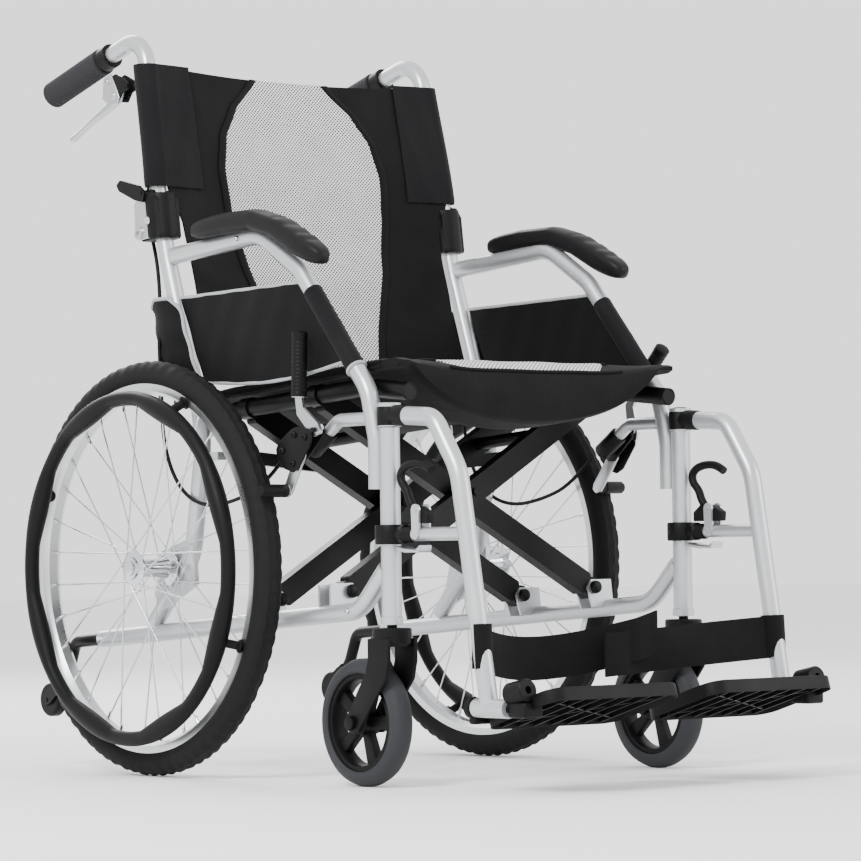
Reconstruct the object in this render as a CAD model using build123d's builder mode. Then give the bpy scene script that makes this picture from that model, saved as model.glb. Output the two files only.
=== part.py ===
from build123d import *
from math import atan2, cos, degrees, hypot, radians, sin
import os

# Folding self-propelled wheelchair with flip-back push handles.
# Millimetres. +Z is up, the user faces -Y, and the user's right hand is on the -X side.
# Sizes along Y are given from the rear axle, and the whole chair is shifted once, at export.
# Everything is drawn for the right-hand side and mirrored for the left.

# ---- overall sizes
frame_x = 236  # side frame plane, from the middle of the chair
rail_x = frame_x - 26  # seat rail and brace pivots, from the middle of the chair
wheel_x = frame_x + 40.5  # rear wheel mid-plane, from the middle of the chair
wheel_radius = 261
caster_radius = 76
caster_trail = 50
post_y = -430  # caster post
seat_top = 465  # height of the seat rail pivots
brace_foot = 224  # height of the lower brace pivots
brace_middle_y = -230
rail_slope = 4.3  # lower rails and seat rails rise forwards by this many degrees
grip_end = (275, 890)  # rear end of the push grip, as y and z

# ---- tubes
frame_tube = 22
post_tube = 24
arm_tube_size = 22
rail_tube = 22
back_tube_size = 22
hanger_tube = 22
wall = 1.6
brace_section = (30, 18)  # in the plane of the cross, and front to back
clearance = 0.3
pin_clearance = 0.05

# ---- rear wheel
tyre_section = 35
rim_width = 26
rim_depth = 14
flange_spacing = 52
flange_radius = 21
spoke_count = 32
spoke_size = 2
axle_radius = 6
handrim_radius = wheel_radius - 50
handrim_tube = 22
handrim_offset = 37
handrim_bracket_count = 4
handrim_bracket_turn = 65  # first bracket, in degrees from the top towards the rear

# ---- casters
caster_width = 30
fork_gap = caster_width + 6
fork_plate = 5
stem_radius = 6

# ---- front
footplate_hinge_z = 98
footplate_inner = 25  # gap from the middle of the chair to each plate
plate_thickness = 6
rib_count = 6
strap_height = 45
strap_thickness = 3

# ---- back
fold_pivot = (28, 702)
cheek_thickness = 5
sling_thickness = 4
grip_size = 35

# ---- anti-tip
anti_tip_axle = (281, 88)
anti_tip_radius = 22
footplate_front = -709

mid_y = (footplate_front + anti_tip_axle[0] + anti_tip_radius) / 2
tilt = radians(rail_slope)
brace_plane = Plane(
    origin=(0, brace_middle_y, brace_foot),
    x_dir=(1, 0, 0),
    z_dir=(0, -cos(tilt), sin(tilt)),
)
brace_rise = (seat_top - brace_foot) / cos(tilt)
half_arm = hypot(rail_x, brace_rise / 2)
brace_angle = degrees(atan2(brace_rise / 2, rail_x))
brace_a_stations = (-62, 78)  # along the pivot line, forwards from its middle
brace_b_stations = (-90, 50)


def side_points(x, points):
    """Points in a side plane at x, given as (y, z)."""
    return [(x, y, z) for y, z in points]


def tube(points, radii, outer, inner=0):
    """A bent round tube along the points, added to the current part."""
    with BuildLine() as route:
        if len(points) > 2:
            FilletPolyline(*points, radius=radii)
        else:
            Line(*points)
    with BuildSketch(Plane(origin=route.line @ 0, z_dir=route.line % 0)) as section:
        Circle(outer / 2)
        if inner:
            Circle(inner / 2, mode=Mode.SUBTRACT)
    sweep(section.sketch, path=route.line)


def rod(start, end, radius, mode=Mode.ADD):
    """A straight round bar between two points, added to the current part."""
    reach = Vector(*end) - Vector(*start)
    with BuildSketch(Plane(origin=start, z_dir=reach.normalized())) as section:
        Circle(radius)
    extrude(section.sketch, amount=reach.length, mode=mode)


def side_plane(x):
    """A plane across the chair at x, with local x along Y and local y up."""
    return Plane(origin=(x, 0, 0), x_dir=(0, 1, 0), z_dir=(1, 0, 0))


def export_one(piece, name):
    piece = piece.moved(Location((0, -mid_y, 0)))
    piece.label = name
    export_step(piece, f"parts/{name}.step")


def export_pair(piece, name):
    """The right-hand piece and its mirror image."""
    export_one(piece, f"{name}_right")
    export_one(mirror(piece, about=Plane.YZ), f"{name}_left")


os.makedirs("parts", exist_ok=True)

# ---- rear wheel

rim_outer = wheel_radius - tyre_section + 6
rim_inner = rim_outer - rim_depth
wheel_plane = Plane(origin=(-wheel_x, 0, wheel_radius), x_dir=(0, 0, 1), z_dir=(0, -1, 0))
# In this plane, local x is the radius and local y points outwards along the axle.

with BuildPart() as tyre:
    with BuildSketch(wheel_plane):
        with Locations((wheel_radius - tyre_section / 2, 0)):
            Circle(tyre_section / 2)
        with Locations((rim_outer - tyre_section / 2, 0)):
            Rectangle(tyre_section, tyre_section, mode=Mode.SUBTRACT)
    revolve(axis=Axis((-wheel_x, 0, wheel_radius), (1, 0, 0)))
export_pair(tyre.part, "tyre")

with BuildPart() as rim:
    with BuildSketch(wheel_plane):
        with BuildLine():
            Polyline(
                (rim_outer, -rim_width / 2),
                (rim_outer, rim_width / 2),
                (rim_inner + 5, rim_width / 2),
                (rim_inner, rim_width / 4),
                (rim_inner, -rim_width / 4),
                (rim_inner + 5, -rim_width / 2),
                close=True,
            )
        make_face()
        with Locations((rim_outer - rim_depth / 4, 0)):
            Rectangle(rim_depth / 2, rim_width - 7, mode=Mode.SUBTRACT)
    revolve(axis=Axis((-wheel_x, 0, wheel_radius), (1, 0, 0)))
export_pair(rim.part, "rim")

flange_thickness = 3
spoke_lean = 45
with BuildPart() as spokes:
    for index in range(spoke_count):
        side = 1 if index % 2 else -1
        lean = spoke_lean if index % 4 < 2 else -spoke_lean
        offset = 0.6 * spoke_size if index % 4 < 2 else -0.6 * spoke_size
        rim_angle = radians(360 / spoke_count * (index + 0.5))
        hub_angle = rim_angle + radians(lean)
        hub_reach = flange_radius + spoke_size / 2 + 0.2
        rim_reach = rim_inner - 0.2
        start = (
            -wheel_x + side * flange_spacing / 2 + offset,
            hub_reach * sin(hub_angle),
            wheel_radius + hub_reach * cos(hub_angle),
        )
        end = (
            -wheel_x + side * 3 + offset,
            rim_reach * sin(rim_angle),
            wheel_radius + rim_reach * cos(rim_angle),
        )
        rod(start, end, spoke_size / 2)
export_pair(spokes.part, "spokes")

hub_inner = -wheel_x + flange_spacing / 2 + 2.5
hub_outer = -wheel_x - flange_spacing / 2 - 6
with BuildPart() as hub:
    rod((hub_inner, 0, wheel_radius), (hub_outer, 0, wheel_radius), 15)
    for flange_side in (-1, 1):
        flange_x = -wheel_x + flange_side * flange_spacing / 2
        rod(
            (flange_x - flange_thickness / 2, 0, wheel_radius),
            (flange_x + flange_thickness / 2, 0, wheel_radius),
            flange_radius,
        )
    rod(
        (hub_inner, 0, wheel_radius),
        (hub_outer + 5, 0, wheel_radius),
        axle_radius + pin_clearance,
        mode=Mode.SUBTRACT,
    )
export_pair(hub.part, "hub")

handrim_x = -wheel_x - handrim_offset
bracket_x = -wheel_x - rim_width / 2 - 3.2
with BuildPart() as handrim:
    with BuildSketch(wheel_plane):
        with Locations((handrim_radius, handrim_offset)):
            Circle(handrim_tube / 2)
    revolve(axis=Axis((-wheel_x, 0, wheel_radius), (1, 0, 0)))
    for index in range(handrim_bracket_count):
        angle = radians(360 / handrim_bracket_count * index + handrim_bracket_turn)
        start_reach = rim_inner + rim_depth / 2
        rod(
            (bracket_x, start_reach * sin(angle), wheel_radius + start_reach * cos(angle)),
            (handrim_x, handrim_radius * sin(angle), wheel_radius + handrim_radius * cos(angle)),
            6,
        )
export_pair(handrim.part, "handrim")

# ---- side frame

rear_post_points = [(47, 192), (-35, 275), (-62, 430), (11, 650), (19, 680)]
lower_rail_points = [(165, 169), (-372, 208), (post_y + 8, 258)]
post_bottom = 192
post_top = 424
plate_x = -frame_x - 3
link_post = (-frame_x + 13, 400)
link_station = 98
link_pin_radius = 3
link_pin = [
    (link_post[0], y, link_post[1] - (y + link_station + 6) * sin(tilt) / cos(tilt))
    for y in (-52, -link_station - 14)
]


def side_frame(bracket_stations):
    """The welded side frame, with its brace brackets at these stations of the pivot line."""
    with BuildPart() as frame:
        tube(side_points(-frame_x, rear_post_points), (60, 160, 160), frame_tube)
        tube(side_points(-frame_x, lower_rail_points), (60,), frame_tube)
        rod((-frame_x, post_y, post_bottom), (-frame_x, post_y, post_top), post_tube / 2)
        with BuildSketch(side_plane(plate_x - 5)):
            with BuildLine():
                Polyline((-46, 300), (-50, 240), (24, 205), (38, 226), (22, 282), close=True)
            make_face()
        extrude(amount=6)
        rod((plate_x, 0, wheel_radius), (hub_outer + 5.5, 0, wheel_radius), axle_radius)
        rod(*link_pin, link_pin_radius)
        with BuildSketch(Plane.XZ.offset(link_station - 6)):
            with Locations((-frame_x + 9, link_post[1])):
                Rectangle(22, 10)
        extrude(amount=-34)
        for station in bracket_stations:
            for cheek in (-1, 1):
                low = station + cheek * (brace_section[1] / 2 + clearance)
                with BuildSketch(brace_plane.offset(low)):
                    with BuildLine():
                        Polyline(
                            (-frame_x - 6, -26),
                            (-rail_x + 4, -26),
                            (-rail_x + 11, 0),
                            (-rail_x + 4, 10),
                            (-frame_x - 4, 10),
                            close=True,
                        )
                    make_face()
                extrude(amount=cheek * 3)
            with BuildSketch(brace_plane.offset(station - brace_section[1] / 2 - 6)):
                with Locations((-rail_x, 0)):
                    Circle(4)
            extrude(amount=brace_section[1] + 12)
        rod(
            (-frame_x, post_y, post_bottom),
            (-frame_x, post_y, post_bottom + 60),
            stem_radius + pin_clearance,
            mode=Mode.SUBTRACT,
        )
        rod((-frame_x, 200, 166.45), (-frame_x, 60, 176.65), 7, mode=Mode.SUBTRACT)
    return frame.part


export_one(side_frame(brace_a_stations), "side_frame_right")
export_one(mirror(side_frame(brace_b_stations), about=Plane.YZ), "side_frame_left")

arm_foot_y = post_y + (post_tube + arm_tube_size) / 2 + clearance  # the arm tube ends beside the post
arm_points = [(-2, 656), (-185, 670), (-262, 622), (-392, 470), (arm_foot_y, 410), (arm_foot_y, 352)]
brake_bar_points = [(-398, 436), (-335, 436), (-281, 400)]
with BuildPart() as arm_tube:
    tube(side_points(-frame_x, arm_points), (60, 60, 60, 60), arm_tube_size)
    tube(side_points(-frame_x, brake_bar_points), (20,), 16)
export_pair(arm_tube.part, "arm_tube")

sleeve_start = (-frame_x, -288, 591.6)
sleeve_end = (-frame_x, -366, 500.4)
with BuildPart() as side_guard:
    with BuildSketch(side_plane(-frame_x - 2)):
        with BuildLine():
            Polyline(
                (-19, 602), (-276, 606), (-352, 517), (-345, 503), (-150, 488), (-78, 492), (-40, 540),
                close=True,
            )
        make_face()
    extrude(amount=4)
    rod(sleeve_start, sleeve_end, arm_tube_size / 2 + 1.2)
    rod((-frame_x, -262, 622), (-frame_x, -392, 470), arm_tube_size / 2 + clearance, mode=Mode.SUBTRACT)
export_pair(side_guard.part, "side_guard")

pad_inward = arm_tube_size / 2  # the raised seat rails pass close by the inner edge
pad_outward = 28
with BuildPart() as arm_pad_groove:
    tube(side_points(-frame_x, arm_points[:4]), (60, 60), arm_tube_size + 2 * clearance)
with BuildPart() as arm_pad_shell:
    with BuildSketch(side_plane(-frame_x - pad_outward)):
        with BuildLine():
            Polyline(
                (-58, 668), (-60, 690), (-190, 698), (-238, 682), (-318, 634), (-306, 618), (-262, 640),
                close=True,
            )
        make_face()
        fillet(vertices(), 5)
    extrude(amount=pad_outward + pad_inward)
    add(arm_pad_groove.part, mode=Mode.SUBTRACT)
export_pair(arm_pad_shell.part, "arm_pad")

# ---- parking brake: bracket with cover plate, lever, and roller arm

brake_pivot = (-318, 425)
brake_x = -frame_x - 14
roller_centre = (-258, 353)
roller_pivot = (-284, 398)
with BuildPart() as brake_body:
    with BuildSketch(side_plane(brake_x - 3)):
        with BuildLine():
            Polyline((-345, 414), (-322, 442), (-264, 392), (-268, 376), (-284, 372), close=True)
        make_face()
        fillet(vertices(), 5)
    extrude(amount=3)
    for pivot, reach in ((brake_pivot, 12.5), (roller_pivot, 8)):
        rod((brake_x - reach, *pivot), (brake_x + 5.5, *pivot), 3)
export_pair(brake_body.part, "brake_body")


def brake_lever(forward_turn):
    """The parking brake lever, turned forwards about its pivot by this many degrees."""
    with BuildPart() as lever:
        with BuildSketch(side_plane(brake_x - 11)):
            with BuildLine():
                Polyline(
                    (-330, 421), (-324, 433), (-296, 452), (-292, 470), (-280, 470),
                    (-284, 444), (-314, 416),
                    close=True,
                )
            make_face()
            fillet(vertices(), 3)
            with Locations(brake_pivot):
                Circle(3 + pin_clearance, mode=Mode.SUBTRACT)
        extrude(amount=4)
        rod((brake_x - 9, -286, 465), (brake_x - 9, -289, 542), 9)
    return lever.part.rotate(Axis((0, *brake_pivot), (1, 0, 0)), forward_turn)


locked_turn = 42
pressed_turn = 8
export_one(brake_lever(0), "brake_lever_right")
export_one(mirror(brake_lever(locked_turn), about=Plane.YZ), "brake_lever_left")


def brake_shoe(brake_turn):
    """The roller arm, turned towards the tyre by this many degrees."""
    with BuildPart() as shoe:
        with BuildSketch(side_plane(brake_x - 7)):
            with BuildLine():
                Polyline(
                    (-292, 396), (-284, 406), (-276, 400), (-252, 356), (-258, 348), (-266, 352),
                    close=True,
                )
            make_face()
            with Locations(roller_pivot):
                Circle(3 + pin_clearance, mode=Mode.SUBTRACT)
        extrude(amount=3.7)
        rod((brake_x - 7, *roller_centre), (brake_x - 48, *roller_centre), 8)
    return shoe.part.rotate(Axis((0, *roller_pivot), (1, 0, 0)), brake_turn)


export_one(brake_shoe(0), "brake_shoe_right")
export_one(mirror(brake_shoe(pressed_turn), about=Plane.YZ), "brake_shoe_left")

# ---- back hinge, back tube, grip and hand brake lever

cheek_gap = back_tube_size / 2 + 1.2
release_pivot = (38, 738)
release_pin = 2.5
with BuildPart() as back_hinge:
    with BuildSketch(side_plane(-frame_x - cheek_gap - cheek_thickness)):
        with BuildLine():
            Polyline((6, 680), (44, 676), (50, 692), (54, 726), (44, 742), (22, 742), (12, 728), close=True)
        make_face()
        fillet(vertices(), 4)
    extrude(amount=2 * (cheek_gap + cheek_thickness))
    with BuildSketch(side_plane(-frame_x - cheek_gap)):
        with Locations((30, 738)):
            Rectangle(80, 2 * (738 - fold_pivot[1] + back_tube_size / 2 + 2))
    extrude(amount=2 * cheek_gap, mode=Mode.SUBTRACT)
    rod(
        (-frame_x - cheek_gap - cheek_thickness - 3, *fold_pivot),
        (-frame_x + cheek_gap + cheek_thickness + 3, *fold_pivot),
        4,
    )
    rod(
        (-frame_x - cheek_gap - cheek_thickness - 7, *release_pivot),
        (-frame_x - cheek_gap - 1, *release_pivot),
        release_pin,
    )
    rod((-frame_x, 11, 650), (-frame_x, 19, 680), frame_tube / 2 + clearance, mode=Mode.SUBTRACT)
export_pair(back_hinge.part, "back_hinge")

back_top_x = frame_x - 8
back_points = [
    (-frame_x, *fold_pivot),
    (-frame_x, 32, 748),
    (-back_top_x, 70, 948),
    (-back_top_x, *grip_end),
]
grip_slope = Vector(0, grip_end[0] - 70, grip_end[1] - 948).normalized()
grip_start = Vector(-back_top_x, *grip_end) - grip_slope * 118
with BuildPart() as back_tube:
    tube(back_points, (60, 38), back_tube_size)
    rod(
        (-frame_x - back_tube_size / 2, *fold_pivot),
        (-frame_x + back_tube_size / 2, *fold_pivot),
        back_tube_size / 2,
    )
    rod(
        (-frame_x - 20, *fold_pivot),
        (-frame_x + 20, *fold_pivot),
        4 + pin_clearance,
        mode=Mode.SUBTRACT,
    )
export_pair(back_tube.part, "back_tube")

lever_pivot = (126, 872)
clamp_centre = grip_start - grip_slope * 12
with BuildPart() as push_grip:
    rod(tuple(grip_start), tuple(grip_start + grip_slope * 121), grip_size / 2)
    bore_start = tuple(grip_start - grip_slope)
    bore_end = tuple(grip_start + grip_slope * 118)
    rod(bore_start, bore_end, back_tube_size / 2, mode=Mode.SUBTRACT)
    rod(tuple(clamp_centre - grip_slope * 8), tuple(clamp_centre + grip_slope * 8), 17)
    with BuildSketch(side_plane(-back_top_x - 9)):
        with BuildLine():
            Polyline(
                (122, 912), (106, 892), (84, 892), (82, 880),
                (106, 876), (120, 864), (134, 866), (146, 900),
                close=True,
            )
        make_face()
    extrude(amount=18)
    with BuildSketch(side_plane(-back_top_x - 3.2)):
        with Locations(lever_pivot):
            Circle(14)
    extrude(amount=6.4, mode=Mode.SUBTRACT)
    rod((-back_top_x - 10, *lever_pivot), (-back_top_x + 10, *lever_pivot), 2.5)
    rod(
        (-back_top_x, 70, 948),
        tuple(grip_start + grip_slope * 3),
        back_tube_size / 2 + pin_clearance,
        mode=Mode.SUBTRACT,
    )
export_pair(push_grip.part, "push_grip")

with BuildPart() as hand_lever:
    with BuildSketch(side_plane(-back_top_x - 3)):
        with BuildLine():
            Polyline(
                (119, 874), (128, 879), (152, 863), (184, 853), (232, 834), (236, 827),
                (230, 824), (182, 842), (150, 850), (124, 864), close=True,
            )
        make_face()
        with Locations(lever_pivot):
            Circle(2.5 + pin_clearance, mode=Mode.SUBTRACT)
    extrude(amount=6)
export_pair(hand_lever.part, "hand_lever")

release_x = -frame_x - cheek_gap - cheek_thickness - 1
with BuildPart() as back_release:
    with BuildSketch(side_plane(release_x - 5)):
        with BuildLine():
            Polyline(
                (34, 726), (30, 738), (44, 748), (84, 758), (92, 752), (86, 744), (52, 730),
                close=True,
            )
        make_face()
        fillet(vertices(), 2.5)
        with Locations(release_pivot):
            Circle(release_pin + pin_clearance, mode=Mode.SUBTRACT)
    extrude(amount=5)
export_pair(back_release.part, "back_release")

# ---- brake cable, held along the back tube and the rear post

cable_size = 5
cable_points = [
    (-back_top_x + 13, 94, 885),
    (-back_top_x + 27, 88, 872),
    (-back_top_x + 22, 80, 840),
    (-frame_x + 16, 68, 790),
    (-frame_x + 10, 68, 745),
    (-frame_x + 8, 64, 700),
    (-frame_x + 6, 44, 655),
    (-frame_x - 4, 24, 600),
    (-frame_x - 14.4, 14, 545),
    (-frame_x - 14.4, 9, 490),
    (-frame_x - 14.4, 9, 438),
    (-frame_x - 14.4, -6, 388),
    (-frame_x - 14.4, -40, 350),
    (-frame_x - 14.4, -90, 336),
    (-frame_x - 14.4, -150, 344),
    (-frame_x - 14.4, -206, 362),
    (-frame_x - 14.4, -248, 396),
]


def bend_radii(points):
    """The largest arc that each corner's two runs allow."""
    found = []
    for before, here, after in zip(points, points[1:], points[2:]):
        arriving = Vector(*here) - Vector(*before)
        leaving = Vector(*after) - Vector(*here)
        half_turn = radians(arriving.get_angle(leaving)) / 2
        found.append(0.45 * min(arriving.length, leaving.length) * cos(half_turn) / sin(half_turn))
    return found


with BuildPart() as brake_cable:
    tube(cable_points, bend_radii(cable_points), cable_size)
export_pair(brake_cable.part, "brake_cable")

# ---- casters

axle_y = post_y + caster_trail
with BuildPart() as caster_fork:
    for cheek in (-1, 1):
        with BuildSketch(side_plane(-frame_x + cheek * fork_gap / 2)):
            with BuildSketch(mode=Mode.PRIVATE) as blank:
                with Locations((post_y, 168)):
                    Circle(20)
                with Locations((axle_y, caster_radius)):
                    Circle(13)
            make_hull(blank.sketch.edges())
        extrude(amount=cheek * fork_plate)
    with BuildSketch(Plane.XY.offset(168)):
        with Locations((-frame_x, post_y)):
            Rectangle(fork_gap + 2 * fork_plate, 38)
    extrude(amount=20)
    rod((-frame_x, post_y, 180), (-frame_x, post_y, post_bottom + 50), stem_radius)
    rod(
        (-frame_x - fork_gap / 2 - fork_plate - 4, axle_y, caster_radius),
        (-frame_x + fork_gap / 2 + fork_plate + 4, axle_y, caster_radius),
        4,
    )
export_pair(caster_fork.part, "caster_fork")

core_radius = caster_radius - 17
caster_plane = Plane(origin=(-frame_x, axle_y, caster_radius), x_dir=(0, 0, 1), z_dir=(0, 1, 0))
caster_axis = Axis((-frame_x, axle_y, caster_radius), (1, 0, 0))
with BuildPart() as caster_wheel:
    with BuildSketch(caster_plane):
        with Locations(((core_radius + caster_radius) / 2, 0)):
            RectangleRounded(caster_radius - core_radius, caster_width, 7)
    revolve(axis=caster_axis)
    with BuildSketch(side_plane(-frame_x - 7)):
        with Locations((axle_y, caster_radius)):
            Circle(core_radius - 0.05)
            with PolarLocations(36, 5):
                Circle(12, mode=Mode.SUBTRACT)
    extrude(amount=14)
    rod(
        (-frame_x - fork_gap / 2 + 1, axle_y, caster_radius),
        (-frame_x + fork_gap / 2 - 1, axle_y, caster_radius),
        12,
    )
    rod(
        (-frame_x - 30, axle_y, caster_radius),
        (-frame_x + 30, axle_y, caster_radius),
        4 + pin_clearance,
        mode=Mode.SUBTRACT,
    )
export_pair(caster_wheel.part, "caster_wheel")

# ---- swing-away hanger, latch, footplate and calf strap

hanger_points = [(post_y, 439), (-512, 434), (-556, 370), (-604, footplate_hinge_z + 2)]
collar_z = 298
latch_pivot = (-486, 326)
latch_pin = 3
bar_end = -567
lug_rear = -582
lug_front = -638
with BuildPart() as hanger:
    tube(side_points(-frame_x, hanger_points), (28, 70), hanger_tube)
    rod((-frame_x, post_y, post_top + 1), (-frame_x, post_y, 453), 14)
    rod((-frame_x, post_y, collar_z - 11), (-frame_x, post_y, collar_z + 11), post_tube / 2 + 6)
    rod((-frame_x, post_y - 14, collar_z), (-frame_x, bar_end, collar_z), 8)
    rod(
        (-frame_x, post_y, collar_z - 20),
        (-frame_x, post_y, collar_z + 20),
        post_tube / 2 + 0.15,
        mode=Mode.SUBTRACT,
    )
    for ear_x in (-frame_x - 9.5, -frame_x + 6.5):
        with BuildSketch(side_plane(ear_x)):
            with BuildSketch(mode=Mode.PRIVATE) as ear:
                with Locations(latch_pivot):
                    Circle(7)
                with Locations((latch_pivot[0], collar_z)):
                    Circle(6)
            make_hull(ear.sketch.edges())
        extrude(amount=3)
    rod((-frame_x - 10.5, *latch_pivot), (-frame_x + 10.5, *latch_pivot), latch_pin)
    rod((-frame_x, lug_rear, footplate_hinge_z), (-frame_x, lug_front, footplate_hinge_z), 11)
    rod(
        (-frame_x, lug_rear + 5, footplate_hinge_z),
        (-frame_x, lug_front - 5, footplate_hinge_z),
        5 + pin_clearance,
        mode=Mode.SUBTRACT,
    )
export_pair(hanger.part, "hanger")

with BuildPart() as latch:
    with BuildSketch(side_plane(-frame_x - 6)):
        with BuildLine():
            Polyline(
                (-500, 310), (-456, 310), (-452, 322), (-462, 338), (-462, 360), (-448, 368), (-448, 380),
                (-500, 380), (-506, 372), (-500, 366), (-476, 362), (-482, 344), (-500, 334), close=True,
            )
        make_face()
        fillet(vertices(), 2)
        with Locations(latch_pivot):
            Circle(latch_pin + pin_clearance, mode=Mode.SUBTRACT)
    extrude(amount=12)
export_pair(latch.part, "latch")

plate_profile = [
    (-576, 80), (-638, 80), (-668, 114), (footplate_front, 118),
    (footplate_front, 118 - plate_thickness), (-671, 108), (-642, 74), (-576, 74),
]
with BuildPart() as footplate:
    with BuildSketch(side_plane(-frame_x + 4)):
        with BuildLine():
            Polyline(*plate_profile, close=True)
        make_face()
    extrude(amount=frame_x - 4 - footplate_inner)
    inner_faces = faces().filter_by(Axis.X).sort_by(Axis.X)[-1:]
    chamfer(inner_faces.edges().filter_by(Axis.Y).sort_by(Axis.Z)[:1], plate_thickness - 0.5)
    for ear_y in (lug_rear + 0.4, lug_front - 0.4 - 8):
        with BuildSketch(Plane.XZ.offset(-ear_y)):
            with Locations((-frame_x, footplate_hinge_z)):
                Circle(12)
            with Locations((-frame_x + 8, footplate_hinge_z - 15)):
                Rectangle(26, 18)
        extrude(amount=-8)
    rod(
        (-frame_x, lug_rear + 4, footplate_hinge_z),
        (-frame_x, lug_front - 4, footplate_hinge_z),
        5,
    )
    for rib in range(rib_count):
        rib_x = -frame_x + 30 + rib * (frame_x - footplate_inner - 54) / (rib_count - 1)
        with BuildSketch(side_plane(rib_x)):
            with BuildLine():
                Polyline(
                    (-580, 75), (-640, 75), (-669, 110), (-702, 113), (-702, 108), (-668, 103),
                    (-642, 69), (-580, 69), close=True,
                )
            make_face()
        extrude(amount=3)
export_pair(footplate.part, "footplate")

strap_low = 148
strap_overlap = 34


def calf_strap(setback):
    """One half of the calf strap, from its hanger to past the middle of the chair."""
    with BuildPart() as strap:
        with BuildSketch(Plane.XY.offset(strap_low)):
            with BuildLine() as run:
                ThreePointArc(
                    (-frame_x + 14, -586),
                    (-frame_x / 2, -556 + setback / 2),
                    (strap_overlap, -546 + setback),
                )
            trace(run.line, strap_thickness)
        extrude(amount=strap_height)
    return strap.part


export_one(calf_strap(0), "calf_strap_right")
export_one(mirror(calf_strap(6), about=Plane.YZ), "calf_strap_left")

# ---- anti-tip device

rear_end = 165
anti_tip_points = [(rear_end + 1, 169), (228, 164.5), (244, 126), (258, 108)]
with BuildPart() as anti_tip_tube:
    tube(side_points(-frame_x, anti_tip_points), (18, 18), 16)
    rod((-frame_x, 120, 172.27), (-frame_x, rear_end + 3, 168.8), 6.9)
    for cheek in (-1, 1):
        with BuildSketch(side_plane(-frame_x + cheek * 9)):
            with BuildLine():
                Polyline((250, 122), (266, 112), (290, 92), (284, 80), (272, 84), (246, 104), close=True)
            make_face()
        extrude(amount=cheek * 3)
    rod((-frame_x - 12, 257, 110), (-frame_x + 12, 257, 110), 7)
    rod((-frame_x - 13, *anti_tip_axle), (-frame_x + 13, *anti_tip_axle), 3)
export_pair(anti_tip_tube.part, "anti_tip_tube")

with BuildPart() as anti_tip_wheel:
    rod((-frame_x - 8, *anti_tip_axle), (-frame_x + 8, *anti_tip_axle), anti_tip_radius)
    fillet(edges().filter_by(GeomType.CIRCLE), 4)
    rod(
        (-frame_x - 10, *anti_tip_axle),
        (-frame_x + 10, *anti_tip_axle),
        3 + pin_clearance,
        mode=Mode.SUBTRACT,
    )
export_pair(anti_tip_wheel.part, "anti_tip_wheel")

# ---- cross brace

bolt_radius = 4
collar_wall = 2.5
centre = (0, brace_rise / 2)


def brace(stations, bolted):
    """A pair of parallel brace tubes, from the right foot pivot to collars on the left seat rail."""
    with BuildPart() as cross:
        for station in stations:
            back_face = station - brace_section[1] / 2
            with BuildSketch(brace_plane.offset(back_face)):
                with Locations(Location((*centre, 0), (0, 0, brace_angle))):
                    RectangleRounded(2 * half_arm - 16, brace_section[0], 5)
                for pivot in ((-rail_x, 0), (rail_x, brace_rise)):
                    with Locations(pivot):
                        Circle(rail_tube / 2 + collar_wall)
                with Locations((-rail_x, 0)):
                    Circle(bolt_radius + pin_clearance, mode=Mode.SUBTRACT)
                with Locations((rail_x, brace_rise)):
                    Circle(rail_tube / 2 + pin_clearance, mode=Mode.SUBTRACT)
                if not bolted:
                    with Locations(centre):
                        Circle(bolt_radius + 1 + pin_clearance, mode=Mode.SUBTRACT)
            extrude(amount=brace_section[1])
            if bolted:
                with BuildSketch(brace_plane.offset(station - 44)):
                    with Locations(centre):
                        Circle(bolt_radius + 1)
                extrude(amount=56)
        # A tie tube joins the two brace tubes, part-way up.
        with BuildSketch(brace_plane.offset(stations[0])):
            with Locations((rail_x * 0.62, brace_rise * 0.81)):
                Circle(8)
        extrude(amount=stations[1] - stations[0])
    return cross.part


export_one(brace(brace_a_stations, True), "brace_a")
export_one(mirror(brace(brace_b_stations, False), about=Plane.YZ), "brace_b")


def rail_height(y):
    """Height of the sloping pivot line through the seat rails at this y."""
    top_line_y = brace_middle_y + brace_rise * sin(tilt)
    top_line_z = brace_foot + brace_rise * cos(tilt)
    return top_line_z + (top_line_y - y) * sin(tilt) / cos(tilt)


seat_points = [(-16, 463), (-70, rail_height(-70)), (-352, rail_height(-352)), (-437, 467)]
plug_depth = 12
with BuildPart() as seat_rail:
    tube(side_points(-rail_x, seat_points), (90, 90), rail_tube, rail_tube - 2 * wall)
    for (end_y, end_z), inward in ((seat_points[0], -plug_depth), (seat_points[-1], plug_depth)):
        rod((-rail_x, end_y, end_z), (-rail_x, end_y + inward, end_z), rail_tube / 2 - wall)
export_pair(seat_rail.part, "seat_rail")

link_tip = (-72, 386)
with BuildPart() as link_arm:
    with BuildSketch(Plane.XZ.offset(link_station)):
        with BuildSketch(mode=Mode.PRIVATE) as link_blank:
            with Locations(link_post):
                Circle(8)
            with Locations(link_tip):
                Circle(8)
        make_hull(link_blank.sketch.edges())
    extrude(amount=12)
    rod((link_tip[0], -link_station - 15, link_tip[1]), (link_tip[0], -link_station + 3, link_tip[1]), 5)
    rod(*link_pin, link_pin_radius + pin_clearance, mode=Mode.SUBTRACT)
export_pair(link_arm.part, "link_arm")

# ---- upholstery, as plain closed solids

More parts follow.
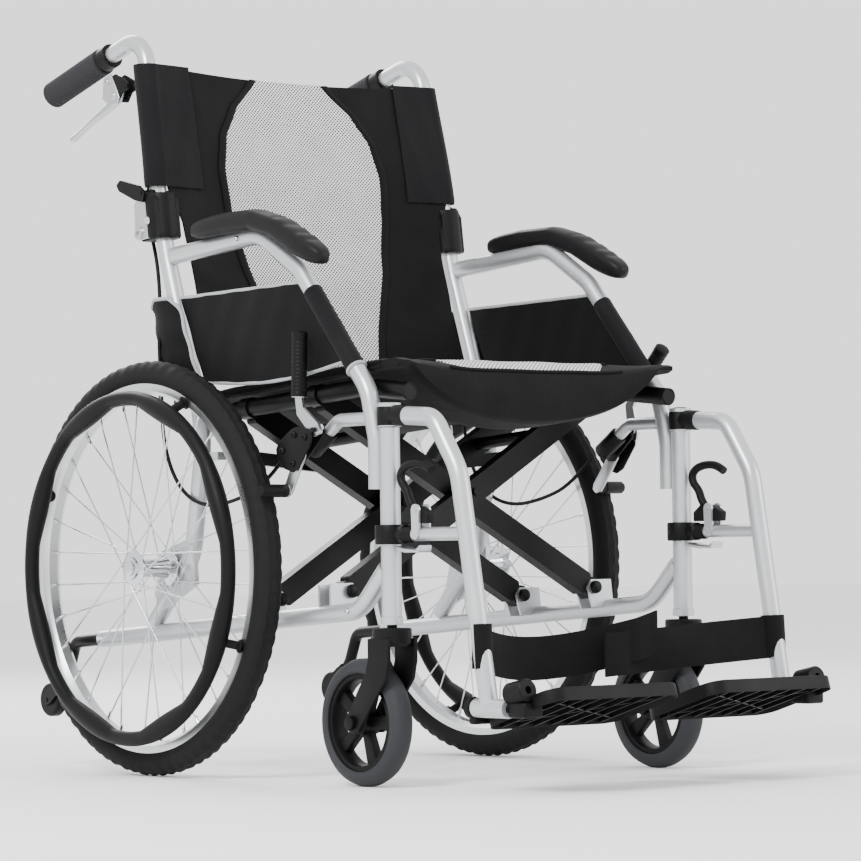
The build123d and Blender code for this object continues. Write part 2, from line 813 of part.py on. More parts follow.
sling_low = rail_tube / 2 + 5
sling_front = 200
sling_rear = -146
seat_sag = 46
with BuildPart() as seat_sling:
    with BuildSketch(brace_plane.offset(sling_rear)):
        with BuildLine():
            level = brace_rise + sling_low
            Line((-rail_x - 10, level), (-rail_x + 10, level))
            ThreePointArc((-rail_x + 10, level), (0, level - seat_sag), (rail_x - 10, level))
            Line((rail_x - 10, level), (rail_x + 10, level))
            Line((rail_x + 10, level), (rail_x + 10, level + sling_thickness))
            Line((rail_x + 10, level + sling_thickness), (rail_x - 10, level + sling_thickness))
            ThreePointArc(
                (rail_x - 10, level + sling_thickness),
                (0, level + sling_thickness - seat_sag),
                (-rail_x + 10, level + sling_thickness),
            )
            Line((-rail_x + 10, level + sling_thickness), (-rail_x - 10, level + sling_thickness))
            Line((-rail_x - 10, level + sling_thickness), (-rail_x - 10, level))
        make_face()
    extrude(amount=sling_front - sling_rear)
export_one(seat_sling.part, "seat_sling")

sling_bottom = 596
sling_top = 906
sling_half = frame_x - 24
back_lean = degrees(atan2(70 - 32, 948 - 748))
back_plane = Plane(
    origin=(0, 32 - (748 - sling_bottom) * sin(radians(back_lean)), sling_bottom),
    x_dir=(1, 0, 0),
    z_dir=(0, -cos(radians(back_lean)), sin(radians(back_lean))),
)
with BuildPart() as back_sling:
    with BuildSketch(back_plane):
        with BuildLine():
            Polyline(
                (-sling_half + 26, 0), (sling_half - 26, 0), (sling_half - 2, 150),
                (sling_half - 2, sling_top - sling_bottom), (-sling_half + 2, sling_top - sling_bottom),
                (-sling_half + 2, 150), close=True,
            )
        make_face()
    extrude(amount=sling_thickness)
export_one(back_sling.part, "back_sling")
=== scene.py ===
import bpy
from math import acos, atan2, cos, pi, radians, sin, sqrt
from mathutils import Matrix, Vector


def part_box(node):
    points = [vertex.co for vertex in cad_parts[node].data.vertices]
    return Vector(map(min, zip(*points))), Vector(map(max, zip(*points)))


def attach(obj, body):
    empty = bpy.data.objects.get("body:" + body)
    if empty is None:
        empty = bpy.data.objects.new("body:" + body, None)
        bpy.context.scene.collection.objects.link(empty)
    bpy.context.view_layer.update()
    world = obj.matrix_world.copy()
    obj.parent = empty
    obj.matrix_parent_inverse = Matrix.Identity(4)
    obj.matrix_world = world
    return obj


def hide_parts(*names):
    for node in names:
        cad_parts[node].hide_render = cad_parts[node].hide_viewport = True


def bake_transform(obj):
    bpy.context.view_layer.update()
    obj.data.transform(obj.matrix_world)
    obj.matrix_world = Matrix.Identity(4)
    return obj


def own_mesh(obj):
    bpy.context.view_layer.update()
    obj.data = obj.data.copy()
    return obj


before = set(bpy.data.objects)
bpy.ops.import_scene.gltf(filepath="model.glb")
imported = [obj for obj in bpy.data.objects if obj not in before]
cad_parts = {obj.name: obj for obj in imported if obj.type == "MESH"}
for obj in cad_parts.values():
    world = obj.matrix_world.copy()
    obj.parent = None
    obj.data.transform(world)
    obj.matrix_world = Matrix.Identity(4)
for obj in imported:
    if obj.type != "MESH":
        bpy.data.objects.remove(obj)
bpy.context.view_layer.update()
print("frame loaded:", len(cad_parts), "nodes")

# The user faces -Y, the user's right hand is on the -X side, +Z is up. All sizes are in metres.
wheelX = (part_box("tyre_left")[0][0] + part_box("tyre_left")[1][0]) / 2
axleY = (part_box("tyre_left")[0][1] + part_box("tyre_left")[1][1]) / 2
wheelRadius = (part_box("tyre_left")[1][2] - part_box("tyre_left")[0][2]) / 2
frameX = 0.236
gripX = 0.228
postY = axleY - 0.430
casterY = axleY - 0.380
sides = {"right": -1, "left": 1}

# camera, lights and floor
camera = {
    "place": (-3.0196, axleY - 3.856, 0.2824),
    "turn": -39.72,
    "tip": 1.785,
    "roll": -0.763,
    "lens": 156.7,
}
turn = radians(camera["turn"])
tip = radians(camera["tip"])
roll = radians(camera["roll"])
forward = Vector((-sin(turn) * cos(tip), cos(turn) * cos(tip), sin(tip)))
level = Vector((cos(turn), sin(turn), 0))
upward = level.cross(forward)
rightAxis = level * cos(roll) + upward * sin(roll)
upAxis = upward * cos(roll) - level * sin(roll)
cameraData = bpy.data.cameras.new("studioCamera")
cameraData.lens = camera["lens"]
cameraData.sensor_width = 36
cameraData.clip_end = 50
studioCamera = bpy.data.objects.new("studioCamera", cameraData)
bpy.context.scene.collection.objects.link(studioCamera)
facing = Matrix((rightAxis, upAxis, -forward)).transposed().to_4x4()
studioCamera.matrix_world = Matrix.Translation(camera["place"]) @ facing
bpy.context.scene.camera = studioCamera


def addLight(name, place, aim, size, watts):
    data = bpy.data.lights.new(name, "AREA")
    data.shape = "DISK"
    data.size = size
    data.energy = watts
    lamp = bpy.data.objects.new(name, data)
    bpy.context.scene.collection.objects.link(lamp)
    lamp.location = place
    lamp.rotation_euler = (Vector(aim) - Vector(place)).to_track_quat("-Z", "Y").to_euler()


addLight("keyLight", (-3.2, -1.2, 3.0), (0, 0, 0.5), 1.2, 170)
addLight("fillLight", (2.4, -3.2, 1.8), (0, 0, 0.4), 2.2, 60)
addLight("rimLight", (0.8, 3.0, 2.4), (0, 0, 0.5), 1.8, 80)
world = bpy.data.worlds.new("studioWorld")
world.use_nodes = True
world.node_tree.nodes["Background"].inputs[0].default_value = (1, 1, 1, 1)
world.node_tree.nodes["Background"].inputs[1].default_value = 1.7
bpy.context.scene.world = world

# materials


def linear(hexText):
    channels = [int(hexText[place:place + 2], 16) / 255 for place in (1, 3, 5)]
    straight = [
        value / 12.92 if value <= 0.04045 else ((value + 0.055) / 1.055) ** 2.4 for value in channels
    ]
    return straight + [1]


def addNode(tree, kind, inputs=None, **settings):
    # adds one node, with its settings, and its inputs as values or links
    node = tree.nodes.new(kind)
    for key, value in settings.items():
        setattr(node, key, value)
    for key, value in (inputs or {}).items():
        if isinstance(value, bpy.types.NodeSocket):
            tree.links.new(value, node.inputs[key])
        else:
            node.inputs[key].default_value = value
    return node


def startMaterial(name, roughness, metallic=0.0):
    material = bpy.data.materials.new(name)
    material.use_nodes = True
    tree = material.node_tree
    shader = tree.nodes["Principled BSDF"]
    shader.inputs["Roughness"].default_value = roughness
    shader.inputs["Metallic"].default_value = metallic
    if metallic == 0:
        shader.inputs["Specular IOR Level"].default_value = 0.14
    place = addNode(tree, "ShaderNodeTexCoord").outputs["Object"]
    return material, tree, shader, place


def mottle(tree, shader, place, dark, light, grainMm, roughLow, roughHigh, depthMm):
    # cloudy colour and roughness over a fine grain, as on any paint, casting or moulding
    cloud = addNode(
        tree, "ShaderNodeTexNoise", {"Vector": place, "Scale": 9, "Detail": 4, "Roughness": 0.6},
    )
    grain = addNode(tree, "ShaderNodeTexNoise", {"Vector": place, "Scale": 1000 / grainMm, "Detail": 2})
    shades = {"Factor": cloud.outputs["Fac"], 6: linear(dark), 7: linear(light)}
    colour = addNode(tree, "ShaderNodeMix", shades, data_type="RGBA")
    tree.links.new(colour.outputs[2], shader.inputs["Base Color"])
    rough = addNode(
        tree, "ShaderNodeMapRange",
        {
            "Value": cloud.outputs["Fac"], "From Min": 0.3, "From Max": 0.7, "To Min": roughLow,
            "To Max": roughHigh,
        },
    )
    tree.links.new(rough.outputs["Result"], shader.inputs["Roughness"])
    bump = addNode(
        tree, "ShaderNodeBump",
        {"Height": grain.outputs["Fac"], "Distance": depthMm / 1000, "Strength": 0.6},
    )
    tree.links.new(bump.outputs["Normal"], shader.inputs["Normal"])
    return bump


def satinSilverPaint():
    # metallic silver lacquer on steel tube: a soft sheen with a faint orange-peel ripple
    material, tree, shader, place = startMaterial("satin silver paint", 0.36, 0.7)
    mottle(tree, shader, place, "#b4b6b9", "#c6c8ca", 1.4, 0.3, 0.42, 0.05)
    return material


def blackPowderCoat():
    # oven-baked black powder on steel: slightly pebbled, semi-gloss
    material, tree, shader, place = startMaterial("black powder coat", 0.4)
    mottle(tree, shader, place, "#060607", "#0b0b0c", 0.9, 0.32, 0.48, 0.06)
    return material


def mouldedNylon():
    # glass-filled black nylon: matt, with a fine spark-eroded grain
    material, tree, shader, place = startMaterial("moulded black nylon", 0.5)
    mottle(tree, shader, place, "#060607", "#0d0d0f", 0.7, 0.42, 0.58, 0.05)
    return material


def selfSkinFoam():
    # black self-skinned polyurethane arm pad: leathery skin with a low sheen
    material, tree, shader, place = startMaterial("self-skinned black foam", 0.5)
    bump = mottle(tree, shader, place, "#0b0b0c", "#151517", 1.6, 0.38, 0.55, 0.12)
    cells = addNode(
        tree, "ShaderNodeTexVoronoi", {"Vector": place, "Scale": 1000 / 1.8},
        feature="DISTANCE_TO_EDGE",
    )
    skin = addNode(
        tree, "ShaderNodeBump",
        {
            "Height": cells.outputs["Distance"], "Distance": 0.00012, "Strength": 0.4,
            "Normal": bump.outputs["Normal"],
        },
    )
    tree.links.new(skin.outputs["Normal"], shader.inputs["Normal"])
    return material


def tyreRubber():
    # black vulcanised rubber: matt, dusty in the tread
    material, tree, shader, place = startMaterial("black tyre rubber", 0.75)
    mottle(tree, shader, place, "#0e0e0f", "#19191a", 1.2, 0.62, 0.82, 0.12)
    return material


def greyCasterRubber():
    # solid grey polyurethane caster tyre, faintly scuffed where it rolls
    material, tree, shader, place = startMaterial("grey caster rubber", 0.6)
    mottle(tree, shader, place, "#28292b", "#353639", 1.5, 0.5, 0.7, 0.1)
    return material


def anodisedAluminium():
    # extruded and anodised rim: bright, with fine lines drawn round the wheel
    material, tree, shader, place = startMaterial("anodised aluminium", 0.3, 1.0)
    mottle(tree, shader, place, "#c9cbcd", "#dadbdd", 0.8, 0.24, 0.38, 0.02)
    return material


def chromePlate():
    # bright nickel-chrome plate on spokes and hub
    material, tree, shader, place = startMaterial("bright chrome plate", 0.16, 1.0)
    mottle(tree, shader, place, "#c2c4c8", "#dfe1e4", 2.0, 0.1, 0.22, 0.01)
    return material


def satinAlloy():
    # die-cast lever alloy, tumbled satin
    material, tree, shader, place = startMaterial("satin die-cast alloy", 0.34, 1.0)
    mottle(tree, shader, place, "#b0b2b5", "#c9cbcd", 0.9, 0.26, 0.42, 0.03)
    return material


def gripRubber():
    # dark grey foamed rubber sleeve: soft, pitted, matt
    material, tree, shader, place = startMaterial("grey foam rubber", 0.85)
    mottle(tree, shader, place, "#222224", "#303033", 1.1, 0.75, 0.92, 0.25)
    return material


def wovenNylon(name, dark, light, threadMm, sheen):
    # plain-weave nylon cloth: two crossed sets of threads, and soft creases
    material, tree, shader, place = startMaterial(name, 0.8)
    bump = mottle(tree, shader, place, dark, light, 6.0, 0.7, 0.9, 0.5)
    height = None
    for direction in ("X", "Z"):
        threads = addNode(
            tree, "ShaderNodeTexWave",
            {"Vector": place, "Scale": 1000 / threadMm / 20, "Distortion": 0.4, "Detail": 1},
            bands_direction=direction,
        )
        if height is None:
            height = threads.outputs["Fac"]
        else:
            crossed = {0: height, 1: threads.outputs["Fac"]}
            height = addNode(tree, "ShaderNodeMath", crossed, operation="MULTIPLY").outputs[0]
    weave = addNode(
        tree, "ShaderNodeBump",
        {"Height": height, "Distance": 0.0003, "Strength": 0.5, "Normal": bump.outputs["Normal"]},
    )
    tree.links.new(weave.outputs["Normal"], shader.inputs["Normal"])
    shader.inputs["Sheen Weight"].default_value = sheen
    shader.inputs["Sheen Roughness"].default_value = 0.5
    return material


def airMesh(across, along, pitchMm):
    # white knitted spacer mesh: rows of dark oval holes, each row set half a hole across from the last
    material, tree, shader, place = startMaterial("white air mesh", 0.8)
    parts = addNode(tree, "ShaderNodeSeparateXYZ", {"Vector": place})
    pitch = pitchMm / 1000
    cell = addNode(tree, "ShaderNodeCombineXYZ", {"X": parts.outputs[across], "Y": parts.outputs[along]})
    counts = (1 / pitch, 1 / (0.9 * pitch), 0)
    scaled = addNode(tree, "ShaderNodeVectorMath", {0: cell.outputs[0], 1: counts}, operation="MULTIPLY")
    reaches = []
    for shift in (0.0, 0.5):
        moved = addNode(
            tree, "ShaderNodeVectorMath", {0: scaled.outputs[0], 1: (shift, shift, 0)}, operation="ADD",
        )
        within = addNode(tree, "ShaderNodeVectorMath", {0: moved.outputs[0]}, operation="FRACTION")
        centred = addNode(
            tree, "ShaderNodeVectorMath", {0: within.outputs[0], 1: (0.5, 0.5, 0)},
            operation="SUBTRACT",
        )
        reach = addNode(tree, "ShaderNodeVectorMath", {0: centred.outputs[0]}, operation="LENGTH")
        reaches.append(reach.outputs["Value"])
    nearest = addNode(tree, "ShaderNodeMath", {0: reaches[0], 1: reaches[1]}, operation="MINIMUM")
    yarn = addNode(
        tree, "ShaderNodeMapRange",
        {"Value": nearest.outputs[0], "From Min": 0.22, "From Max": 0.31, "To Min": 0, "To Max": 1},
    )
    cloud = addNode(tree, "ShaderNodeTexNoise", {"Vector": place, "Scale": 30, "Detail": 3})
    white = addNode(
        tree, "ShaderNodeMix",
        {"Factor": cloud.outputs["Fac"], 6: linear("#dcdcdc"), 7: linear("#f7f7f7")}, data_type="RGBA",
    )
    cloth = addNode(
        tree, "ShaderNodeMix",
        {"Factor": yarn.outputs["Result"], 6: linear("#1d1d1e"), 7: white.outputs[2]}, data_type="RGBA",
    )
    tree.links.new(cloth.outputs[2], shader.inputs["Base Color"])
    bump = addNode(
        tree, "ShaderNodeBump", {"Height": yarn.outputs["Result"], "Distance": 0.0008, "Strength": 0.8},
    )
    tree.links.new(bump.outputs["Normal"], shader.inputs["Normal"])
    shader.inputs["Sheen Weight"].default_value = 0.2
    return material


finishes = {
    "silver": satinSilverPaint(),
    "powder": blackPowderCoat(),
    "nylon": mouldedNylon(),
    "foam": selfSkinFoam(),
    "tyre": tyreRubber(),
    "caster": greyCasterRubber(),
    "rim": anodisedAluminium(),
    "chrome": chromePlate(),
    "alloy": satinAlloy(),
    "grip": gripRubber(),
    "cloth": wovenNylon("black nylon cloth", "#060607", "#0c0c0e", 1.6, 0.02),
    "sleeve": wovenNylon("charcoal nylon cloth", "#08080a", "#101012", 1.6, 0.03),
    "webbing": wovenNylon("black webbing", "#060607", "#0d0d0e", 2.4, 0.02),
    "piping": wovenNylon("silver-grey piping", "#8f9193", "#a6a8aa", 1.5, 0.1),
    "backMesh": airMesh("X", "Z", 5.2),
    "seatMesh": airMesh("X", "Y", 6.0),
}
nodeFinish = {
    "side_frame": "silver", "arm_tube": "silver", "hanger": "silver", "back_tube": "silver",
    "side_guard": "cloth", "arm_pad": "foam", "seat_rail": "powder", "tyre": "tyre", "rim": "rim",
    "spokes": "chrome", "hub": "chrome", "handrim": "nylon", "caster_fork": "nylon",
    "caster_wheel": "caster", "latch": "nylon", "footplate": "nylon", "calf_strap": "webbing",
    "brake_lever": "alloy", "brake_body": "powder", "brake_shoe": "powder", "brake_cable": "nylon",
    "push_grip": "grip", "hand_lever": "alloy", "back_hinge": "nylon", "back_release": "nylon",
    "anti_tip_tube": "powder", "anti_tip_wheel": "nylon", "link_arm": "powder", "brace_a": "powder",
    "brace_b": "powder", "seat_sling": "cloth", "back_sling": "cloth",
}
for nodeName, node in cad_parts.items():
    kind = nodeName.removesuffix("_right").removesuffix("_left")
    node.data.materials.clear()
    node.data.materials.append(finishes[nodeFinish[kind]])
print("materials made:", len(finishes))

# tools of the bench


def clearSelection():
    if bpy.context.object and bpy.context.object.mode != "OBJECT":
        bpy.ops.object.mode_set(mode="OBJECT")
    bpy.ops.object.select_all(action="DESELECT")


def hold(piece):
    clearSelection()
    piece.select_set(True)
    bpy.context.view_layer.objects.active = piece


def settle(piece, name):
    # the place goes into the mesh, and the object goes to the origin
    hold(piece)
    piece.name = name
    bpy.ops.object.transform_apply(location=True, rotation=True, scale=True)
    return piece


def useModifier(piece, kind, **settings):
    hold(piece)
    modifier = piece.modifiers.new(kind.title(), kind)
    for key, value in settings.items():
        setattr(modifier, key, value)
    bpy.ops.object.modifier_apply(modifier=modifier.name)


def smooth(piece, degreesKept=40):
    hold(piece)
    bpy.ops.object.shade_smooth_by_angle(angle=radians(degreesKept))


def newPiece(name, corners, edges, faces):
    mesh = bpy.data.meshes.new(name)
    mesh.from_pydata(corners, edges, faces)
    piece = bpy.data.objects.new(name, mesh)
    bpy.context.scene.collection.objects.link(piece)
    hold(piece)
    return piece


def editAll(piece):
    hold(piece)
    bpy.ops.object.mode_set(mode="EDIT")
    bpy.ops.mesh.select_all(action="SELECT")


def faceOut(mergeWithin=None):
    # in edit mode: merges doubles if asked, turns every face outwards, and leaves edit mode
    bpy.ops.mesh.select_all(action="SELECT")
    if mergeWithin:
        bpy.ops.mesh.remove_doubles(threshold=mergeWithin)
    bpy.ops.mesh.normals_make_consistent(inside=False)
    bpy.ops.object.mode_set(mode="OBJECT")


def block(name, size, place=(0, 0, 0), turn=(0, 0, 0)):
    clearSelection()
    bpy.ops.mesh.primitive_cube_add(size=1, location=place, rotation=turn)
    piece = bpy.context.object
    piece.scale = size
    return settle(piece, name)


def onBothSides(stage, *makers):
    for side, sign in sides.items():
        for maker in makers:
            maker(side, sign)
    print(stage, "made")


def finishPiece(piece, body, material, slot, *stoodFor):
    piece.data.materials.clear()
    piece.data.materials.append(finishes[material])
    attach(piece, body)
    if stoodFor:
        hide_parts(*stoodFor)
    return piece


def clothGrid(name, across, along, placeOf):
    # a flat grid, whose points are then laid where the cloth goes
    clearSelection()
    bpy.ops.mesh.primitive_grid_add(x_subdivisions=across, y_subdivisions=along, size=2)
    piece = bpy.context.object
    for vertex in piece.data.vertices:
        vertex.co = placeOf(vertex.co.x, vertex.co.y)
    piece.name = name
    return piece


def cordMesh(name, points, thickness):
    # a round cord or bead along smooth points, as a mesh
    clearSelection()
    curve = bpy.data.curves.new(name, "CURVE")
    curve.dimensions = "3D"
    spline = curve.splines.new("NURBS")
    spline.points.add(len(points) - 1)
    for spot, point in zip(spline.points, points):
        spot.co = (*point, 1)
    spline.order_u = 3
    spline.use_endpoint_u = True
    spline.resolution_u = 6
    curve.bevel_depth = thickness / 2
    curve.bevel_resolution = 3
    curve.use_fill_caps = True
    piece = bpy.data.objects.new(name, curve)
    bpy.context.scene.collection.objects.link(piece)
    hold(piece)
    bpy.ops.object.convert(target="MESH")
    return bpy.context.object


def between(value, table):
    # smooth interpolation in a short table of (position, value)
    for (lowAt, low), (highAt, high) in zip(table, table[1:]):
        if lowAt <= value <= highAt:
            share = (value - lowAt) / (highAt - lowAt)
            share = share * share * (3 - 2 * share) * 0.3 + share * 0.7
            return low + (high - low) * share
    return table[0][1] if value < table[0][0] else table[-1][1]


clearSelection()
bpy.ops.mesh.primitive_plane_add(size=30)
floor = bpy.context.object
floor.name = "studioFloor"
floorMaterial, floorTree, floorShader, floorPlace = startMaterial("pale studio floor", 0.9)
mottle(floorTree, floorShader, floorPlace, "#f2f2f2", "#f6f6f6", 3.0, 0.85, 0.95, 0.01)
floor.data.materials.append(floorMaterial)

# back upholstery
back = {
    "top": 0.905,
    "sleeveEnd": 0.745,
    "foldLine": 0.702,
    "bottom": 0.492,
    "sag": 0.020,
    "cloth": 0.0022,
    "sleeveRadius": 0.0145,
    "flat": {"upper": (0.464, 0.205), "lower": (0.428, 0.222)},
    "meshFlat": {"upper": (0.262, 0.200), "lower": (0.248, 0.218)},
    "meshArea": {"upper": 0.0456, "lower": 0.0430},
    "sleeveFlat": (0.118, 0.163),
}
backTubeLine = [
    (0.49, axleY - 0.040), (0.60, axleY - 0.002), (0.702, axleY + 0.026), (0.748, axleY + 0.032),
    (0.948, axleY + 0.070),
]
backTubeReach = [(0.49, 0.214), (0.66, 0.214), (0.70, 0.216), (0.748, 0.236), (0.948, 0.228)]
insertHalf = [
    (0.485, 0.062), (0.55, 0.082), (0.60, 0.098), (0.65, 0.113), (0.72, 0.126), (0.775, 0.130),
    (0.82, 0.120), (0.857, 0.097), (0.895, 0.062), (0.91, 0.052),
]


def backFront(x, z):
    # the front face of the cloth, which sags back between the tubes
    reach = between(z, backTubeReach)
    share = min(1, abs(x) / reach)
    crease = 0.0012 * sin(x * 90 + z * 40) * sin(z * 70) * (1 - share)
    return between(z, backTubeLine) - back["sleeveRadius"] + back["sag"] * (1 - share ** 2) + crease


def topDip(across, z):
    # the top edge dips between the tubes
    return 0.007 * (1 - across ** 2) * max(0, (z - 0.86) / 0.045)


def backPanel(name, low, high):
    def placeOf(u, v):
        z = low + (high - low) * (v + 1) / 2
        reach = between(z, backTubeReach) - 0.004
        dip = topDip(u, z)
        return (u * reach, backFront(u * reach, z), z - dip)

    piece = clothGrid(name, 48, max(8, int((high - low) / 0.008)), placeOf)
    useModifier(piece, "SOLIDIFY", thickness=back["cloth"], offset=0)
    smooth(piece, 60)
    return piece


def backInsert(name, low, high):
    def placeOf(u, v):
        z = low + (high - low) * (v + 1) / 2
        half = between(z, insertHalf)
        x = u * half
        dip = topDip(x / 0.22, z)
        return (x, backFront(x, z) - back["cloth"] / 2 - 0.0012, z - dip + 0.0005)

    piece = clothGrid(name, 30, max(8, int((high - low) / 0.008)), placeOf)
    useModifier(piece, "SOLIDIFY", thickness=0.0016, offset=0)
    smooth(piece, 60)
    return piece


def backBinding(name, low, high, side):
    def placeOf(u, v):
        z = low + (high - low) * (v + 1) / 2
        x = side * (between(z, insertHalf) + 0.004 + 0.0055 * u)
        crown = 0.0016 * (1 - u * u)
        dip = topDip(x / 0.22, z)
        return (x, backFront(x, z) - back["cloth"] / 2 - 0.0014 - crown, z - dip + 0.0005)

    piece = clothGrid(name, 6, max(8, int((high - low) / 0.006)), placeOf)
    useModifier(piece, "SOLIDIFY", thickness=0.0014, offset=0)
    smooth(piece, 60)
    return piece


def backSleeve(name, side):
    # the pocket that slips over the back tube: its front lies over the panel, and its hem makes a step
    def placeOf(u, v):
        z = back["sleeveEnd"] + (back["top"] - back["sleeveEnd"]) * (v + 1) / 2
        radius = back["sleeveRadius"] + 0.0018
        tubeX = between(z, backTubeReach)
        tubeY = between(z, backTubeLine)
        if u < 0:
            x = 0.170 + (tubeX - 0.170) * (u + 1)
            y = backFront(x, z) - 0.0026 - 0.0004 * sin(x * 160 + z * 50)
        else:
            angle = u * pi * 0.95
            x = tubeX + radius * sin(angle)
            y = tubeY - (radius + 0.0016) * cos(angle)
        return (side * x, y, z + 0.0015)

    piece = clothGrid(name, 48, 30, placeOf)
    useModifier(piece, "SOLIDIFY", thickness=0.0014, offset=0)
    smooth(piece, 60)
    return piece


for part, low, high, body in (
    ("upper", back["foldLine"], back["top"], "back_right"),
    ("lower", back["bottom"], back["foldLine"], "frame_right"),
):
    panel = backPanel("backCloth." + part, low, high)
    insert = backInsert("backMesh." + part, low, high)
    trims = [backBinding(f"backBinding.{part}.{side}", low, high, sign) for side, sign in sides.items()]
    if part == "upper":
        finishPiece(panel, body, "cloth", "black_fabric", "back_sling")
    else:
        finishPiece(panel, body, "cloth", "black_fabric")
    finishPiece(insert, body, "backMesh", "black_fabric")
    for trim in trims:
        finishPiece(trim, body, "cloth", "black_fabric")
    for piece in (panel, insert, *trims):
        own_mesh(piece)
for side, sign in sides.items():
    sleeve = backSleeve("backSleeve." + side, sign)
    finishPiece(sleeve, "back_" + side, "sleeve", "black_fabric")
print("back upholstery made")

# seat upholstery
seat = {
    "halfWidth": 0.222,
    "front": axleY - 0.432,
    "rear": axleY - 0.052,
    "sag": 0.046,
    "railHeight": 0.4835,
    "slope": 0.075,
    "apronEnd": axleY - 0.335,
    "meshHalf": 0.135,
}


def ringedMesh(name, rings):
    # closed rings of points, joined in order and capped at both ends
    size = len(rings[0])
    corners = [point for ring in rings for point in ring]
    faces = []
    for index in range(len(rings) - 1):
        for corner in range(size):
            turnOn = (corner + 1) % size
            low = index * size
            faces.append((low + corner, low + turnOn, low + size + turnOn, low + size + corner))
    faces.append(tuple(range(size)))
    faces.append(tuple(range(len(corners) - 1, len(corners) - size - 1, -1)))
    piece = newPiece(name, corners, [], faces)
    editAll(piece)
    faceOut()
    return piece


def seatLevel(y):
    return seat["railHeight"] - (y - axleY + 0.23) * seat["slope"]


def seatCrown(x, y):
    # the padded top is nearly level between the rails, and rolls down at the front edge
    share = min(1, abs(x) / seat["halfWidth"])
    ahead = max(0, 1 - (y - seat["front"]) / 0.06)
    behind = max(0, 1 - (seat["rear"] - y) / 0.03)
    crease = 0.0008 * sin(x * 60 + y * 22) * sin(y * 45 + 1)
    rolled = 0.020 * ahead ** 1.6 * (1 - share ** 4)
    edge = 0.004 * max(0, share - 0.93) / 0.07
    return seatLevel(y) + 0.014 - rolled - 0.008 * behind ** 2 - edge + crease


def seatBelly(x, y):
    # the underside sags between the rails, deepest at the front, where it clears the braces
    share = min(1, abs(x) / 0.199)
    apron = max(0, min(1, (seat["apronEnd"] - y) / 0.02)) * 0.020 * (1 - share ** 6)
    return seatLevel(y) - 0.001 - seat["sag"] * (1 - share ** 2) - apron


def seatCushion():
    rings = []
    for step in range(49):
        y = seat["front"] + (seat["rear"] - seat["front"]) * step / 48
        pull = 0.003 if step in (0, 48) else 0
        acrossList = [seat["halfWidth"] * (2 * place / 56 - 1) for place in range(57)]
        ring = [(x, y, seatCrown(x, y) - pull) for x in acrossList]
        ring += [(x, y, seatBelly(x, y) + pull) for x in reversed(acrossList)]
        rings.append(ring)
    piece = ringedMesh("seatCushion", rings)
    smooth(piece, 60)
    return piece


def seatInsert():
    def placeOf(u, v):
        y = seat["front"] + 0.008 + (seat["rear"] - seat["front"] - 0.013) * (v + 1) / 2
        corner = 0.03 * max(0, abs(v) - 0.85) / 0.15
        x = u * (seat["meshHalf"] - corner)
        return (x, y, seatCrown(x, y) + 0.0008)

    piece = clothGrid("seatMesh", 30, 36, placeOf)
    useModifier(piece, "SOLIDIFY", thickness=0.0014, offset=0)
    smooth(piece, 60)
    return piece


cushion = seatCushion()
finishPiece(cushion, "seat_rail_right", "cloth", "black_fabric", "seat_sling")
seatMesh = seatInsert()
finishPiece(seatMesh, "seat_rail_right", "seatMesh", "black_fabric")
seatPieces = [cushion, seatMesh]
seamYs = [seat["front"] + 0.034 + 0.336 * step / 12 for step in range(13)]
seamXs = [0.139 * (step / 8 - 1) for step in range(17)]
seamPaths = {
    "right": [(-0.139, y, seatCrown(0.139, y) + 0.001) for y in seamYs],
    "left": [(0.139, y, seatCrown(0.139, y) + 0.001) for y in seamYs],
    "front": [(x, seat["front"] + 0.004, seatCrown(x, seat["front"] + 0.004) + 0.0005) for x in seamXs],
    "edgeRight": [(-0.2215, y, seatLevel(y) + 0.0012) for y in seamYs],
    "edgeLeft": [(0.2215, y, seatLevel(y) + 0.0012) for y in seamYs],
    "rowRight": [(-0.2215, y, seatLevel(y) + 0.0082) for y in seamYs],
    "rowLeft": [(0.2215, y, seatLevel(y) + 0.0082) for y in seamYs],
}
for edge, points in seamPaths.items():
    seam = cordMesh("seatSeam." + edge, points, 0.0042)
    smooth(seam, 60)
    finishPiece(seam, "seat_rail_right", "webbing", "black_fabric")
    seatPieces.append(seam)
for piece in seatPieces:
    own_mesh(piece)
print("seat upholstery made")


def turned(name, profile, base, direction, segments=48):
    # a lathe-turned piece: the profile is (distance along, radius), spun about its axis
    corners = [(along, 0, radius) for along, radius in profile]
    piece = newPiece(name, corners, [(spot, spot + 1) for spot in range(len(corners) - 1)], [])
    editAll(piece)
    bpy.ops.mesh.spin(steps=segments, angle=2 * pi, center=(0, 0, 0), axis=(1, 0, 0))
    faceOut(0.00001)
    turnTo = Vector((1, 0, 0)).rotation_difference(Vector(direction).normalized())
    piece.matrix_world = Matrix.Translation(base) @ turnTo.to_matrix().to_4x4()
    settle(piece, name)
    smooth(piece, 35)
    return piece


def rodProfile(length, radius):
    return [(0, 0), (0, radius), (length, radius), (length, 0)]


def joined(name, pieces):
    clearSelection()
    for piece in pieces:
        piece.select_set(True)
    bpy.context.view_layer.objects.active = pieces[0]
    bpy.ops.object.join()
    whole = bpy.context.object
    whole.name = name
    return whole


# rear wheels
wheel = {
    "tyreWidth": 0.035,
    "seatRadius": 0.232,
    "lugs": 176,
    "lugDepth": 0.0018,
    "handrimRadius": 0.211,
    "handrimThick": 0.0093,
    "handrimOut": 0.037,
    "handrimOuter": 0.2222,
    "swells": 8,
    "swellSize": 0.0036,
    "brackets": 4,
    "bracketTurn": 65,
}


